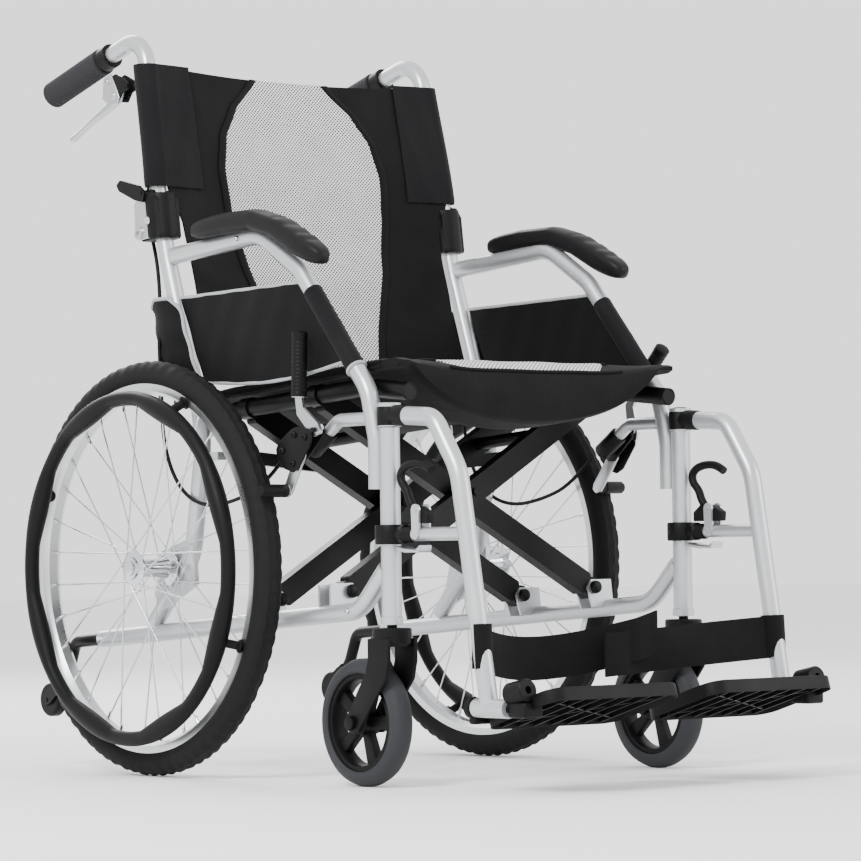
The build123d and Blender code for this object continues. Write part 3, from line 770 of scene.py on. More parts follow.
def rollTyre(side, sign):
    clearSelection()
    tube = wheel["tyreWidth"] / 2
    bpy.ops.mesh.primitive_torus_add(
        major_segments=wheel["lugs"] * 4, minor_segments=24, major_radius=wheelRadius - tube,
        minor_radius=tube, location=(sign * wheelX, axleY, wheelRadius), rotation=(0, pi / 2, 0),
    )
    tyre = settle(bpy.context.object, "tyreTread." + side)
    for vertex in tyre.data.vertices:
        reach = Vector((vertex.co.y - axleY, vertex.co.z - wheelRadius))
        radius = reach.length
        outward = vertex.co.x - sign * wheelX
        angle = atan2(reach.y, reach.x)
        if radius < wheel["seatRadius"]:
            radius = wheel["seatRadius"]
        lean = 0.5 if abs(outward) < 0.004 else 0.0
        phase = (angle / (2 * pi) * wheel["lugs"] + lean + 0.125) % 1
        crown = reach.length > wheelRadius - 0.0135
        if crown and (phase < 0.34 or 0.0035 < abs(outward) < 0.006):
            radius -= wheel["lugDepth"]
        scale = radius / reach.length
        vertex.co.y = axleY + reach.x * scale
        vertex.co.z = wheelRadius + reach.y * scale
    smooth(tyre, 25)
    return finishPiece(tyre, "rear_wheel_" + side, "tyre", "tyre_rubber", "tyre_" + side)


def bendHandrim(side, sign):
    clearSelection()
    rimX = sign * (wheelX + wheel["handrimOut"])
    bpy.ops.mesh.primitive_torus_add(
        major_segments=216, minor_segments=18, major_radius=wheel["handrimRadius"],
        minor_radius=wheel["handrimThick"], location=(rimX, axleY, wheelRadius),
        rotation=(0, pi / 2, 0),
    )
    ring = settle(bpy.context.object, "handrimRing." + side)
    # finger swells: the outer edge stays round, and the bar thickens inwards at each swell
    for vertex in ring.data.vertices:
        reach = Vector((vertex.co.y - axleY, vertex.co.z - wheelRadius))
        angle = atan2(reach.y, reach.x)
        swell = max(0, sin(wheel["swells"] * angle - pi / 2) + 0.35) / 1.35
        bar = wheel["handrimThick"] + wheel["swellSize"] * swell ** 0.8
        grow = bar / wheel["handrimThick"]
        radius = wheel["handrimOuter"] - bar + (reach.length - wheel["handrimRadius"]) * grow
        vertex.co.x = rimX + (vertex.co.x - rimX) * (1 + 0.6 * (grow - 1))
        vertex.co.y = axleY + reach.x / reach.length * radius
        vertex.co.z = wheelRadius + reach.y / reach.length * radius
    smooth(ring, 60)
    arms = [ring]
    for index in range(wheel["brackets"]):
        angle = 2 * pi * index / wheel["brackets"] + radians(wheel["bracketTurn"])
        # from the rim's side out to the handrim
        rimReach = 0.226
        ringReach = wheel["handrimRadius"]
        start = Vector((
            sign * (wheelX + 0.0132), axleY + rimReach * sin(angle),
            wheelRadius + rimReach * cos(angle),
        ))
        end = Vector((rimX, axleY + ringReach * sin(angle), wheelRadius + ringReach * cos(angle)))
        span = (end - start).length
        arms.append(
            turned(
                f"handrimArm.{side}.{index}",
                [
                    (0, 0), (0, 0.0085), (0.003, 0.0085), (0.005, 0.0055), (span - 0.01, 0.0055),
                    (span, 0.007), (span, 0),
                ],
                start, end - start, 20,
            ),
        )
    whole = joined("handrim." + side, arms)
    return finishPiece(whole, "rear_wheel_" + side, "nylon", "black_plastic", "handrim_" + side)


def turnHub(side, sign):
    profile = [
        (-0.0285, 0.0075), (-0.0285, 0.0135), (-0.0275, 0.0205), (-0.0265, 0.0225), (-0.0250, 0.0225),
        (-0.0240, 0.0205), (-0.0215, 0.0135), (-0.0100, 0.0115), (0.0100, 0.0115), (0.0215, 0.0135),
        (0.0240, 0.0205), (0.0250, 0.0225), (0.0265, 0.0225), (0.0275, 0.0205), (0.0285, 0.0140),
        (0.0310, 0.0130), (0.0315, 0.0100), (0.0345, 0.0095), (0.0350, 0.0060), (0.0355, 0),
    ]
    hub = turned("hubShell." + side, profile, (sign * wheelX, axleY, wheelRadius), (sign, 0, 0), 64)
    return finishPiece(hub, "rear_wheel_" + side, "chrome", "bright_steel", "hub_" + side)


def screwNipples(side, sign):
    # a plated nipple at the rim end of each spoke
    nipples = []
    spokeCount = 32
    for index in range(spokeCount):
        flange = 1 if index % 2 else -1
        shift = 0.0012 if index % 4 < 2 else -0.0012
        angle = 2 * pi * (index + 0.5) / spokeCount
        inward = Vector((0, -sin(angle), -cos(angle)))
        nippleReach = 0.2178
        rimX = sign * (wheelX - flange * 0.003 - shift)
        rimEnd = Vector((rimX, axleY + nippleReach * sin(angle), wheelRadius + nippleReach * cos(angle)))
        nipples.append(
            turned(
                f"nipple.{side}.{index}",
                [(0, 0), (0, 0.0023), (0.009, 0.0019), (0.011, 0.0012), (0.011, 0)], rimEnd, inward, 8,
            ),
        )
    whole = joined("spokeNipples." + side, nipples)
    return finishPiece(whole, "rear_wheel_" + side, "chrome", "bright_steel")


onBothSides("rear wheels", rollTyre, bendHandrim, turnHub, screwNipples)

# casters
caster = {"radius": 0.076, "width": 0.030, "axleY": casterY, "x": frameX, "arms": 5}


def turnCasterTyre(side, sign):
    half = caster["width"] / 2
    outer = caster["radius"]
    profile = [
        (-half + 0.002, 0.0585), (-half, 0.061), (-half + 0.001, 0.068),
        (-half + 0.005, outer - 0.0025), (-0.004, outer), (0.004, outer),
        (half - 0.005, outer - 0.0025), (half - 0.001, 0.068), (half, 0.061), (half - 0.002, 0.0585),
        (-half + 0.002, 0.0585),
    ]
    tyre = turned(
        "casterTyre." + side, profile, (sign * caster["x"], caster["axleY"], outer), (1, 0, 0), 96,
    )
    return finishPiece(tyre, "caster_wheel_" + side, "caster", "grey_tyre", "caster_wheel_" + side)


def mouldCasterCore(side, sign):
    centre = (sign * caster["x"], caster["axleY"], caster["radius"])
    ring = turned(
        "casterRing." + side,
        [
            (-0.011, 0.0585), (-0.012, 0.052), (-0.008, 0.050), (0.008, 0.050), (0.012, 0.052),
            (0.011, 0.0585), (-0.011, 0.0585),
        ],
        centre, (1, 0, 0), 96,
    )
    boss = turned(
        "casterBoss." + side,
        [
            (-0.0165, 0.0045), (-0.0165, 0.011), (-0.012, 0.0145), (0.012, 0.0145), (0.0165, 0.011),
            (0.0165, 0.0045), (-0.0165, 0.0045),
        ],
        centre, (1, 0, 0), 48,
    )
    arms = [ring, boss]
    for index in range(caster["arms"]):
        angle = 2 * pi * index / caster["arms"] + 0.3
        arm = block(f"casterArm.{side}.{index}", (0.013, 0.011, 0.042), (0, 0, 0.032))
        for vertex in arm.data.vertices:
            if vertex.co.z > 0.03:
                vertex.co.y *= 1.7
        useModifier(arm, "BEVEL", width=0.002, segments=3)
        arm.matrix_world = Matrix.Translation(centre) @ Matrix.Rotation(angle, 4, "X")
        settle(arm, arm.name)
        arms.append(arm)
    whole = joined("casterCore." + side, arms)
    smooth(whole, 35)
    return finishPiece(whole, "caster_wheel_" + side, "nylon", "black_plastic")


onBothSides("casters", turnCasterTyre, mouldCasterCore)

# push grips and brake grips
grip = {
    "end": (gripX, axleY + 0.275, 0.890), "slope": (0, 0.9623, -0.2722), "length": 0.118,
    "radius": 0.0176, "pitch": 0.0054,
}


def ribbedProfile(length, radius, pitch, depth):
    profile = [(0, 0), (0, radius - 0.002), (0.0015, radius)]
    ribs = int((length - 0.012) / pitch)
    for rib in range(ribs):
        start = 0.006 + rib * pitch
        for share, drop in ((0, 0), (0.25, depth), (0.5, depth), (0.75, 0)):
            profile.append((start + share * pitch, radius - drop))
    rounded = [(length - 0.0015, radius), (length, radius - 0.002), (length + 0.001, radius * 0.55)]
    return profile + rounded + [(length + 0.001, 0)]


for side, sign in sides.items():
    slope = Vector(grip["slope"])
    endPoint = Vector((sign * grip["end"][0], *grip["end"][1:]))
    sleeve = turned(
        "pushGripSleeve." + side,
        ribbedProfile(grip["length"] + 0.003, grip["radius"], grip["pitch"], 0.0003),
        endPoint - slope * grip["length"], slope, 56,
    )
    finishPiece(sleeve, "back_" + side, "grip", "grip_rubber", "push_grip_" + side)
print("push grips made")

brake = {
    "pivot": (axleY - 0.318, 0.425), "gripLow": (axleY - 0.286, 0.465),
    "gripHigh": (axleY - 0.289, 0.542), "x": 0.259,
}
for side, sign in sides.items():
    forwardTurn = 0 if side == "right" else radians(42)
    pivot = Vector((0, *brake["pivot"]))
    spin = Matrix.Rotation(forwardTurn, 3, "X")
    low = spin @ (Vector((0, *brake["gripLow"])) - pivot) + pivot
    high = spin @ (Vector((0, *brake["gripHigh"])) - pivot) + pivot
    low.x = high.x = sign * brake["x"]
    handle = turned(
        "brakeGrip." + side, ribbedProfile((high - low).length + 0.002, 0.0098, 0.0046, 0.0006), low,
        high - low, 32,
    )
    finishPiece(handle, "brake_lever_" + side, "nylon", "black_plastic")
print("brake grips made")

# arm pads
pad = {
    "path": [
        (-0.058, 0.682), (-0.130, 0.687), (-0.190, 0.687), (-0.235, 0.674), (-0.285, 0.648),
        (-0.322, 0.630),
    ],
    "x": 0.2446,
    "halfWidth": 0.0184,
    "halfHeight": 0.0135,
}


def alongPath(share, path):
    lengths = [0.0]
    for (y0, z0), (y1, z1) in zip(path, path[1:]):
        lengths.append(lengths[-1] + sqrt((y1 - y0) ** 2 + (z1 - z0) ** 2))
    target = share * lengths[-1]
    ys = between(target, list(zip(lengths, [point[0] for point in path])))
    zs = between(target, list(zip(lengths, [point[1] for point in path])))
    return ys, zs


def padShape(side, sign):
    clearSelection()
    bpy.ops.mesh.primitive_uv_sphere_add(segments=48, ring_count=72, radius=1)
    piece = bpy.context.object
    for vertex in piece.data.vertices:
        up = max(-1.0, min(1.0, vertex.co.z))
        share = acos(up) / pi
        ahead = (share - 0.5) * 2
        fullness = (1 - abs(ahead) ** 7) ** 0.45 if abs(ahead) < 1 else 0
        around = atan2(vertex.co.y, vertex.co.x)
        cosA = cos(around)
        sinA = sin(around)
        wide = pad["halfWidth"] * fullness
        tall = pad["halfHeight"] * (1 + 0.12 * max(0, ahead)) * fullness
        across = wide * (abs(cosA) ** 0.6) * (1 if cosA > 0 else -1)
        rise = tall * (abs(sinA) ** 0.7) * (1 if sinA > 0 else -1)
        if sinA > 0.3 and 0.62 < share < 0.95:
            groove = max(0, sin((share - 0.62) / 0.33 * 8 * pi))
            rise -= 0.0022 * groove * (sinA - 0.3) * (1 - abs(cosA) ** 3)
        y, z = alongPath(share, pad["path"])
        y2, z2 = alongPath(min(1, share + 0.01), pad["path"])
        y1, z1 = alongPath(max(0, share - 0.01), pad["path"])
        run = Vector((y2 - y1, z2 - z1)).normalized()
        vertex.co = (sign * pad["x"] + across, axleY + y + run.y * rise, z - run.x * rise)
    piece.name = "armPad." + side
    editAll(piece)
    faceOut(0.0001)
    smooth(piece, 60)
    finishPiece(piece, "frame_" + side, "foam", "black_plastic", "arm_pad_" + side)


onBothSides("arm pads", padShape)

# side guards
guard = {
    "front": ((-0.278, 0.606), (-0.352, 0.506)),
    "rear": ((-0.020, 0.601), (-0.068, 0.493)),
    "thick": 0.004,
}


def guardPanel(side, sign):
    (frontTopY, frontTopZ), (frontLowY, frontLowZ) = guard["front"]
    (rearTopY, rearTopZ), (rearLowY, rearLowZ) = guard["rear"]

    def placeOf(u, v):
        along = (u + 1) / 2
        rise = (v + 1) / 2
        topY = frontTopY + (rearTopY - frontTopY) * along
        topZ = frontTopZ + (rearTopZ - frontTopZ) * along
        lowY = frontLowY + (rearLowY - frontLowY) * along
        lowZ = frontLowZ + (rearLowZ - frontLowZ) * along - 0.011 * sin(pi * along)
        y = lowY + (topY - lowY) * rise
        z = lowZ + (topZ - lowZ) * rise
        bulge = 0.0035 * sin(pi * along) * sin(pi * rise) + 0.0006 * sin(y * 120 + z * 50)
        return (sign * (0.2385 + bulge), axleY + y, z)

    panel = clothGrid("guardPanel." + side, 40, 24, placeOf)
    useModifier(panel, "SOLIDIFY", thickness=guard["thick"], offset=0)
    useModifier(panel, "BEVEL", width=0.001, segments=2)
    smooth(panel, 50)
    finishPiece(panel, "frame_" + side, "cloth", "black_fabric", "side_guard_" + side)
    edges = {
        "top": [placeOf(u / 8 - 1, 1) for u in range(17)],
        "bottom": [placeOf(u / 8 - 1, -1) for u in range(17)],
    }
    for edge, points in edges.items():
        bead = cordMesh(f"guardPiping.{edge}.{side}", points, 0.0052)
        smooth(bead, 60)
        finishPiece(bead, "frame_" + side, "piping", "black_fabric")


def guardFlap(side, sign):
    # the rear flap wraps the rear post, with piping along its front edge
    def placeOf(u, v):
        rise = (v + 1) / 2
        z = 0.497 + 0.104 * rise
        frontY = -0.070 + 0.046 * rise ** 0.8
        rearY = 0.012 + 0.026 * rise ** 0.7
        y = frontY + (rearY - frontY) * (u + 1) / 2
        corner = 0.010 * max(0, abs(u) - 0.55) / 0.45 * max(0, rise - 0.85) / 0.15
        wrap = 0.2505 - 0.010 * max(0, u) ** 2 - 0.004 * max(0, -u) ** 3 + 0.0012 * sin(z * 160)
        return (sign * wrap, axleY + y, z - corner)

    flap = clothGrid("guardFlap." + side, 20, 24, placeOf)
    useModifier(flap, "SOLIDIFY", thickness=0.003, offset=0)
    smooth(flap, 60)
    finishPiece(flap, "frame_" + side, "cloth", "black_fabric")
    points = [placeOf(-1, v / 6 - 1) for v in range(12)]
    points += [placeOf(u / 6 - 1, 1) for u in range(13)]
    points = [(x + sign * 0.001, y, z) for x, y, z in points]
    bead = cordMesh("guardPiping.flap." + side, points, 0.005)
    smooth(bead, 60)
    finishPiece(bead, "frame_" + side, "piping", "black_fabric")


def guardSleeve(side, sign):
    start = Vector((sign * frameX, axleY - 0.286, 0.594))
    end = Vector((sign * frameX, axleY - 0.368, 0.498))
    span = (end - start).length
    sleeve = turned(
        "guardSleeve." + side,
        [
            (0, 0.0112), (0, 0.0117), (0.002, 0.0122), (0.03, 0.0119), (span * 0.5, 0.0122),
            (span - 0.03, 0.0119), (span - 0.002, 0.0122), (span, 0.0117), (span, 0.0112), (0, 0.0112),
        ],
        start, end - start, 40,
    )
    finishPiece(sleeve, "frame_" + side, "sleeve", "black_fabric")
    ring = turned(
        "guardPiping.sleeve." + side,
        [
            (0, 0.0112), (0, 0.0126), (0.001, 0.0134), (0.003, 0.0134), (0.004, 0.0126),
            (0.004, 0.0112), (0, 0.0112),
        ],
        end, end - start, 40,
    )
    finishPiece(ring, "frame_" + side, "piping", "black_fabric")


onBothSides("side guards", guardPanel, guardFlap, guardSleeve)

# calf strap, in two halves
strap = {
    "low": 0.143, "tall": 0.051, "loop": 0.0135, "y": axleY - 0.590, "thick": 0.0026, "past": 0.040,
    "long": {"right": 0.387, "left": 0.369},
}


def strapHalf(side, sign):
    lift = 0.0 if side == "right" else 0.004

    def placeOf(u, v):
        share = (u + 1) / 2
        rise = v * strap["tall"] / 2
        tubeX = sign * frameX
        if share < 0.2:
            angle = pi * 1.35 * (share / 0.2)
            x = tubeX - sign * strap["loop"] * sin(angle)
            y = strap["y"] + strap["loop"] * cos(angle) + 0.0013
            z = strap["low"] + strap["tall"] / 2
        else:
            run = (share - 0.2) / 0.8
            startX = tubeX - sign * strap["loop"] * sin(pi * 1.35)
            startY = strap["y"] + strap["loop"] * cos(pi * 1.35)
            endX = -sign * strap["past"]
            x = startX + (endX - startX) * run
            bow = 0.046 if side == "right" else 0.016
            sag = 0.021 * sin(pi * run) - 0.010 * run if side == "right" else 0.016 * run
            y = startY + bow * sin(pi * min(1, run * 1.12)) + lift * run + 0.006 * run
            z = strap["low"] + strap["tall"] / 2 - sag
        lean = 0.10 * sin(pi * share)
        return (x, y + rise * lean, z + rise + 0.04 * (strap["y"] - y))

    piece = clothGrid("calfStrap." + side, 90, 8, placeOf)
    useModifier(piece, "SOLIDIFY", thickness=strap["thick"], offset=0)
    smooth(piece, 60)
    finishPiece(piece, "hanger_" + side, "webbing", "webbing", "calf_strap_" + side)
    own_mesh(piece)


onBothSides("calf strap", strapHalf)

# footplates
plate = {
    "inner": 0.024, "outer": 0.228, "rear": axleY - 0.578, "front": axleY - 0.706, "lowZ": 0.076,
    "wall": 0.017, "tip": 16.5, "ribs": 7,
}


def mouldPlate(side, sign):
    long = plate["outer"] - plate["inner"]
    deep = plate["rear"] - plate["front"]
    tray = block("footplateTray." + side, (long, deep, plate["wall"]))
    hold(tray)
    bpy.ops.object.mode_set(mode="EDIT")
    bpy.ops.mesh.select_mode(type="EDGE")
    bpy.ops.mesh.select_all(action="DESELECT")
    bpy.ops.object.mode_set(mode="OBJECT")
    for edge in tray.data.edges:
        first, second = (tray.data.vertices[index].co for index in edge.vertices)
        edge.select = abs(first.z - second.z) > 0.01
    bpy.ops.object.mode_set(mode="EDIT")
    bpy.ops.mesh.bevel(offset=0.022, segments=8)
    bpy.ops.mesh.select_mode(type="FACE")
    bpy.ops.mesh.select_all(action="DESELECT")
    bpy.ops.object.mode_set(mode="OBJECT")
    for face in tray.data.polygons:
        face.select = face.normal.z < -0.9
    bpy.ops.object.mode_set(mode="EDIT")
    bpy.ops.mesh.inset(thickness=0.004, depth=0)
    bpy.ops.transform.translate(value=(0, 0, plate["wall"] - 0.004))
    bpy.ops.object.mode_set(mode="OBJECT")
    useModifier(tray, "BEVEL", width=0.0014, segments=3, limit_method="ANGLE")
    ribs = [tray]
    for index in range(plate["ribs"]):
        place = -long / 2 + long * (index + 1) / (plate["ribs"] + 1)
        size = (0.0022, deep - 0.006, plate["wall"] - 0.003)
        ribs.append(block(f"footplateRib.{side}.{index}", size, (place, 0, 0.0005)))
    for index, slant in enumerate((0.5, -0.5)):
        size = (long * 0.9, 0.0022, plate["wall"] - 0.005)
        rib = block(f"footplateCross.{side}.{index}", size, (0, 0, 0.0005), (0, 0, slant))
        for vertex in rib.data.vertices:
            vertex.co.y = max(-deep / 2 + 0.003, min(deep / 2 - 0.003, vertex.co.y))
        ribs.append(rib)
    for index in range(9):
        place = -long / 2 + 0.03 + (long - 0.06) * index / 8
        raised = (place, 0, plate["wall"] / 2 + 0.0004)
        ribs.append(block(f"footplateTread.{side}.{index}", (0.004, deep * 0.72, 0.0016), raised))
    whole = joined("footplateTray." + side, ribs)
    middle = Vector((
        sign * (plate["outer"] + plate["inner"]) / 2, (plate["rear"] + plate["front"]) / 2, 0.0975,
    ))
    whole.matrix_world = Matrix.Translation(middle) @ Matrix.Rotation(-radians(plate["tip"]), 4, "X")
    settle(whole, "footplateTray." + side)
    boss = turned(
        "footplateBoss." + side,
        [
            (0, 0.0045), (0, 0.012), (0.002, 0.0135), (0.030, 0.0135), (0.032, 0.012), (0.032, 0.0045),
            (0, 0.0045),
        ],
        (sign * 0.232, axleY - 0.636, 0.114), (0, -1, 0.2), 40,
    )
    rear = turned(
        "footplateLug." + side,
        [(0, 0), (0, 0.011), (0.0015, 0.0125), (0.008, 0.0125), (0.0085, 0.011), (0.0085, 0)],
        (sign * frameX, axleY - 0.5805, 0.098), (0, 1, 0), 40,
    )
    web = []
    for y, z in ((axleY - 0.655, 0.097), (axleY - 0.577, 0.088)):
        size = (0.028, 0.012 if y > axleY - 0.6 else 0.030, 0.018)
        lump = block("footplateWeb." + side, size, (sign * 0.226, y, z))
        useModifier(lump, "BEVEL", width=0.003, segments=3)
        web.append(lump)
    whole = joined("footplateTray." + side, [whole, boss, rear, *web])
    smooth(whole, 35)
    finishPiece(whole, "footplate_" + side, "nylon", "black_plastic", "footplate_" + side)


onBothSides("footplates", mouldPlate)

# hanger elbows, tube collars and bolts


def capElbow(side, sign):
    post = (sign * frameX, postY, 0.4254)
    cap = turned(
        "elbowCap." + side,
        [
            (0, 0), (0, 0.0128), (0.0015, 0.0146), (0.022, 0.0146), (0.0275, 0.012), (0.0292, 0.006),
            (0.0292, 0),
        ],
        post, (0, 0, 1), 48,
    )
    neck = turned(
        "elbowNeck." + side, [(0, 0), (0, 0.0124), (0.028, 0.0124), (0.031, 0.0118), (0.031, 0)],
        (sign * frameX, axleY - 0.432, 0.4388), (0, -1, -0.06), 40,
    )
    whole = joined("hangerElbow." + side, [cap, neck])
    finishPiece(whole, "hanger_" + side, "nylon", "black_plastic")


def domeBolt(name, place, direction, radius):
    profile = [
        (0, 0), (0, radius), (0.0012, radius), (0.0026, radius * 0.8), (0.0034, radius * 0.45),
        (0.0034, radius * 0.3), (0.0016, radius * 0.28), (0.0016, 0),
    ]
    return turned(name, profile, place, direction, 20)


def fitBolts(side, sign):
    outer = Vector((sign, 0, 0))
    places = [
        ((sign * 0.2528, axleY - 0.322, 0.428), outer, 0.0042),
        ((sign * 0.2528, axleY - 0.284, 0.398), outer, 0.0042),
        ((sign * 0.2470, axleY - 0.150, 0.667), outer, 0.0030),
        ((sign * 0.2535, axleY + 0.028, 0.702), outer, 0.0050),
        ((sign * 0.2470, axleY - 0.360, 0.2075), outer, 0.0036),
    ]
    bolts = [
        domeBolt(f"bolt.{side}.{index}", place, way, radius) for index, (place, way, radius) in enumerate(
            places,
        )
    ]
    whole = joined("frameBolts." + side, bolts)
    finishPiece(whole, "frame_" + side, "chrome", "bright_steel")


onBothSides("caps and bolts", capElbow, fitBolts)

# black bolts through the brace feet
foldTilt = radians(4.3)
foldLine = Vector((0, -cos(foldTilt), sin(foldTilt)))
braceFoot = (0.210, axleY - 0.230, 0.224)
footStations = {"right": (-0.062, 0.078), "left": (-0.090, 0.050)}
for side, sign in sides.items():
    heads = []
    for station in footStations[side]:
        for cheek in (-1, 1):
            place = Vector((sign * braceFoot[0], *braceFoot[1:])) + foldLine * (station + cheek * 0.0150)
            heads.append(
                turned(
                    f"footBolt.{side}.{station}.{cheek}",
                    [
                        (0, 0), (0, 0.0085), (0.0015, 0.0085), (0.0045, 0.0075), (0.0060, 0.0045),
                        (0.0060, 0),
                    ],
                    place, foldLine * cheek, 24,
                ),
            )
    whole = joined("braceBolts." + side, heads)
    finishPiece(whole, "frame_" + side, "powder", "black_metal")
print("brace bolts made")

# hanger clamp, release tab and hooked latch


def slab(name, outline, x, thick, bevel):
    # a flat plate across the chair: the outline is (y, z), from x inwards by its thickness
    corners = [(x - thick / 2, axleY + y, z) for y, z in outline]
    piece = newPiece(name, corners, [], [tuple(range(len(outline)))])
    editAll(piece)
    bpy.ops.mesh.extrude_region_move(TRANSFORM_OT_translate={"value": (thick, 0, 0)})
    faceOut()
    useModifier(piece, "BEVEL", width=bevel, segments=3, limit_method="ANGLE")
    smooth(piece, 35)
    return piece


latchPath = [
    (-0.507, 0.3725), (-0.496, 0.3795), (-0.477, 0.3815), (-0.458, 0.3775), (-0.4495, 0.369),
    (-0.451, 0.359), (-0.462, 0.349), (-0.4655, 0.338), (-0.474, 0.3275), (-0.489, 0.3215),
    (-0.498, 0.3165),
]


def hookLatch(side, sign):
    points = [(sign * frameX, axleY + y, z) for y, z in latchPath]
    hook = cordMesh("latchHook." + side, points, 0.0105)
    base = slab(
        "latchBase." + side,
        [
            (-0.456, 0.3105), (-0.504, 0.3105), (-0.505, 0.322), (-0.490, 0.330), (-0.470, 0.332),
            (-0.456, 0.322),
        ],
        sign * frameX, 0.0115, 0.0015,
    )
    whole = joined("latchHook." + side, [hook, base])
    smooth(whole, 50)
    finishPiece(whole, "latch_" + side, "nylon", "black_plastic", "latch_" + side)


def hangerClamp(side, sign):
    post = (sign * frameX, postY, 0.2865)
    ring = turned(
        "clampRing." + side,
        [
            (0, 0.0125), (0, 0.0178), (0.002, 0.0188), (0.021, 0.0188), (0.023, 0.0178),
            (0.023, 0.0125), (0, 0.0125),
        ],
        post, (0, 0, 1), 48,
    )
    barrel = turned(
        "clampBarrel." + side,
        [
            (0, 0.0083), (0, 0.0104), (0.012, 0.0112), (0.014, 0.0098), (0.026, 0.0098),
            (0.029, 0.0083), (0, 0.0083),
        ],
        (sign * frameX, axleY - 0.4465, 0.298), (0, -1, 0), 36,
    )
    whole = joined("hangerClamp." + side, [ring, barrel])
    finishPiece(whole, "hanger_" + side, "nylon", "black_plastic")
    tab = slab(
        "releaseTab." + side,
        [
            (-0.450, 0.2845), (-0.450, 0.2795), (-0.466, 0.2765), (-0.492, 0.2765), (-0.494, 0.2855),
            (-0.486, 0.2800), (-0.466, 0.2815),
        ],
        sign * frameX, 0.020, 0.0012,
    )
    finishPiece(tab, "hanger_" + side, "alloy", "lever_alloy")


onBothSides("latches and clamps", hookLatch, hangerClamp)

# caster forks
forkLeg = [
    (-0.4495, 0.176), (-0.4495, 0.150), (-0.4440, 0.128), (-0.3925, 0.067), (-0.3860, 0.0635),
    (-0.3780, 0.0630), (-0.3700, 0.0680), (-0.3670, 0.0760), (-0.3690, 0.0830), (-0.4060, 0.135),
    (-0.4110, 0.150), (-0.4110, 0.176),
]


def mouldFork(side, sign):
    legs = []
    for cheek in (-1, 1):
        legX = sign * frameX + cheek * 0.0205
        legs.append(slab(f"forkLeg.{side}.{cheek}", forkLeg, legX, 0.0052, 0.0016))
    crown = turned(
        "forkCrown." + side,
        [
            (0, 0), (0, 0.0195), (0.004, 0.0228), (0.010, 0.0232), (0.020, 0.0232), (0.0215, 0.0215),
            (0.0215, 0),
        ],
        (sign * frameX, postY, 0.1665), (0, 0, 1), 56,
    )
    nuts = []
    nutProfile = [(0, 0), (0, 0.0082), (0.0012, 0.0085), (0.0048, 0.0080), (0.0056, 0.0060), (0.0056, 0)]
    for cheek in (-1, 1):
        seated = (sign * frameX + cheek * 0.0232, casterY, caster["radius"])
        nuts.append(turned(f"forkNut.{side}.{cheek}", nutProfile, seated, (cheek, 0, 0), 24))
    stem = turned(
        "forkStem." + side, rodProfile(0.050, 0.006), (sign * frameX, postY, 0.185), (0, 0, 1), 24,
    )
    pinStart = (sign * frameX - 0.022, casterY, caster["radius"])
    pin = turned("forkPin." + side, rodProfile(0.044, 0.004), pinStart, (1, 0, 0), 24)
    whole = joined("casterFork." + side, [*legs, crown, stem, pin, *nuts])
    smooth(whole, 40)
    finishPiece(whole, "caster_fork_" + side, "nylon", "black_plastic", "caster_fork_" + side)
    collar = turned(
        "postCollar." + side, [(0, 0.0122), (0, 0.0134), (0.008, 0.0134), (0.009, 0.0122), (0, 0.0122)],
        (sign * frameX, postY, 0.1925), (0, 0, 1), 48,
    )
    finishPiece(collar, "frame_" + side, "silver", "silver_tube")


onBothSides("caster forks", mouldFork)

# back hinge covers


def coverHinge(side, sign):
    def placeOf(u, v):
        angle = u * radians(100)
        lean = 0.004 * v
        return (
            sign * frameX + 0.0186 * sin(angle), axleY + 0.0275 + lean - 0.0225 * cos(angle),
            0.709 + 0.029 * v,
        )

    front = clothGrid("hingeFront." + side, 24, 8, placeOf)
    useModifier(front, "SOLIDIFY", thickness=0.003, offset=0)
    useModifier(front, "BEVEL", width=0.001, segments=2, limit_method="ANGLE")
    smooth(front, 50)
    finishPiece(front, "frame_" + side, "nylon", "black_plastic")
    eye = turned(
        "hingeEye." + side,
        [
            (0, 0), (0, 0.0072), (0.001, 0.0080), (0.005, 0.0080), (0.0055, 0.0070), (0.0055, 0.0030),
            (0.002, 0.0030), (0.002, 0),
        ],
        (sign * 0.2532, axleY + 0.046, 0.687), (sign, 0, 0), 28,
    )
    plate = slab(
        "hingePlate." + side,
        [(0.024, 0.680), (0.050, 0.678), (0.056, 0.690), (0.058, 0.724), (0.050, 0.735), (0.028, 0.735)],
        sign * 0.2545, 0.0022, 0.0008,
    )
    whole = joined("hingePlate." + side, [plate, eye])
    smooth(whole, 40)
    finishPiece(whole, "frame_" + side, "alloy", "lever_alloy")
    pin = turned(
        "hingePin." + side,
        [(0, 0), (0, 0.0052), (0.0015, 0.0058), (0.0035, 0.0045), (0.0040, 0.0025), (0.0040, 0)],
        (sign * 0.2556, axleY + 0.028, 0.702), (sign, 0, 0), 24,
    )
    finishPiece(pin, "frame_" + side, "chrome", "bright_steel")


onBothSides("hinge covers", coverHinge)

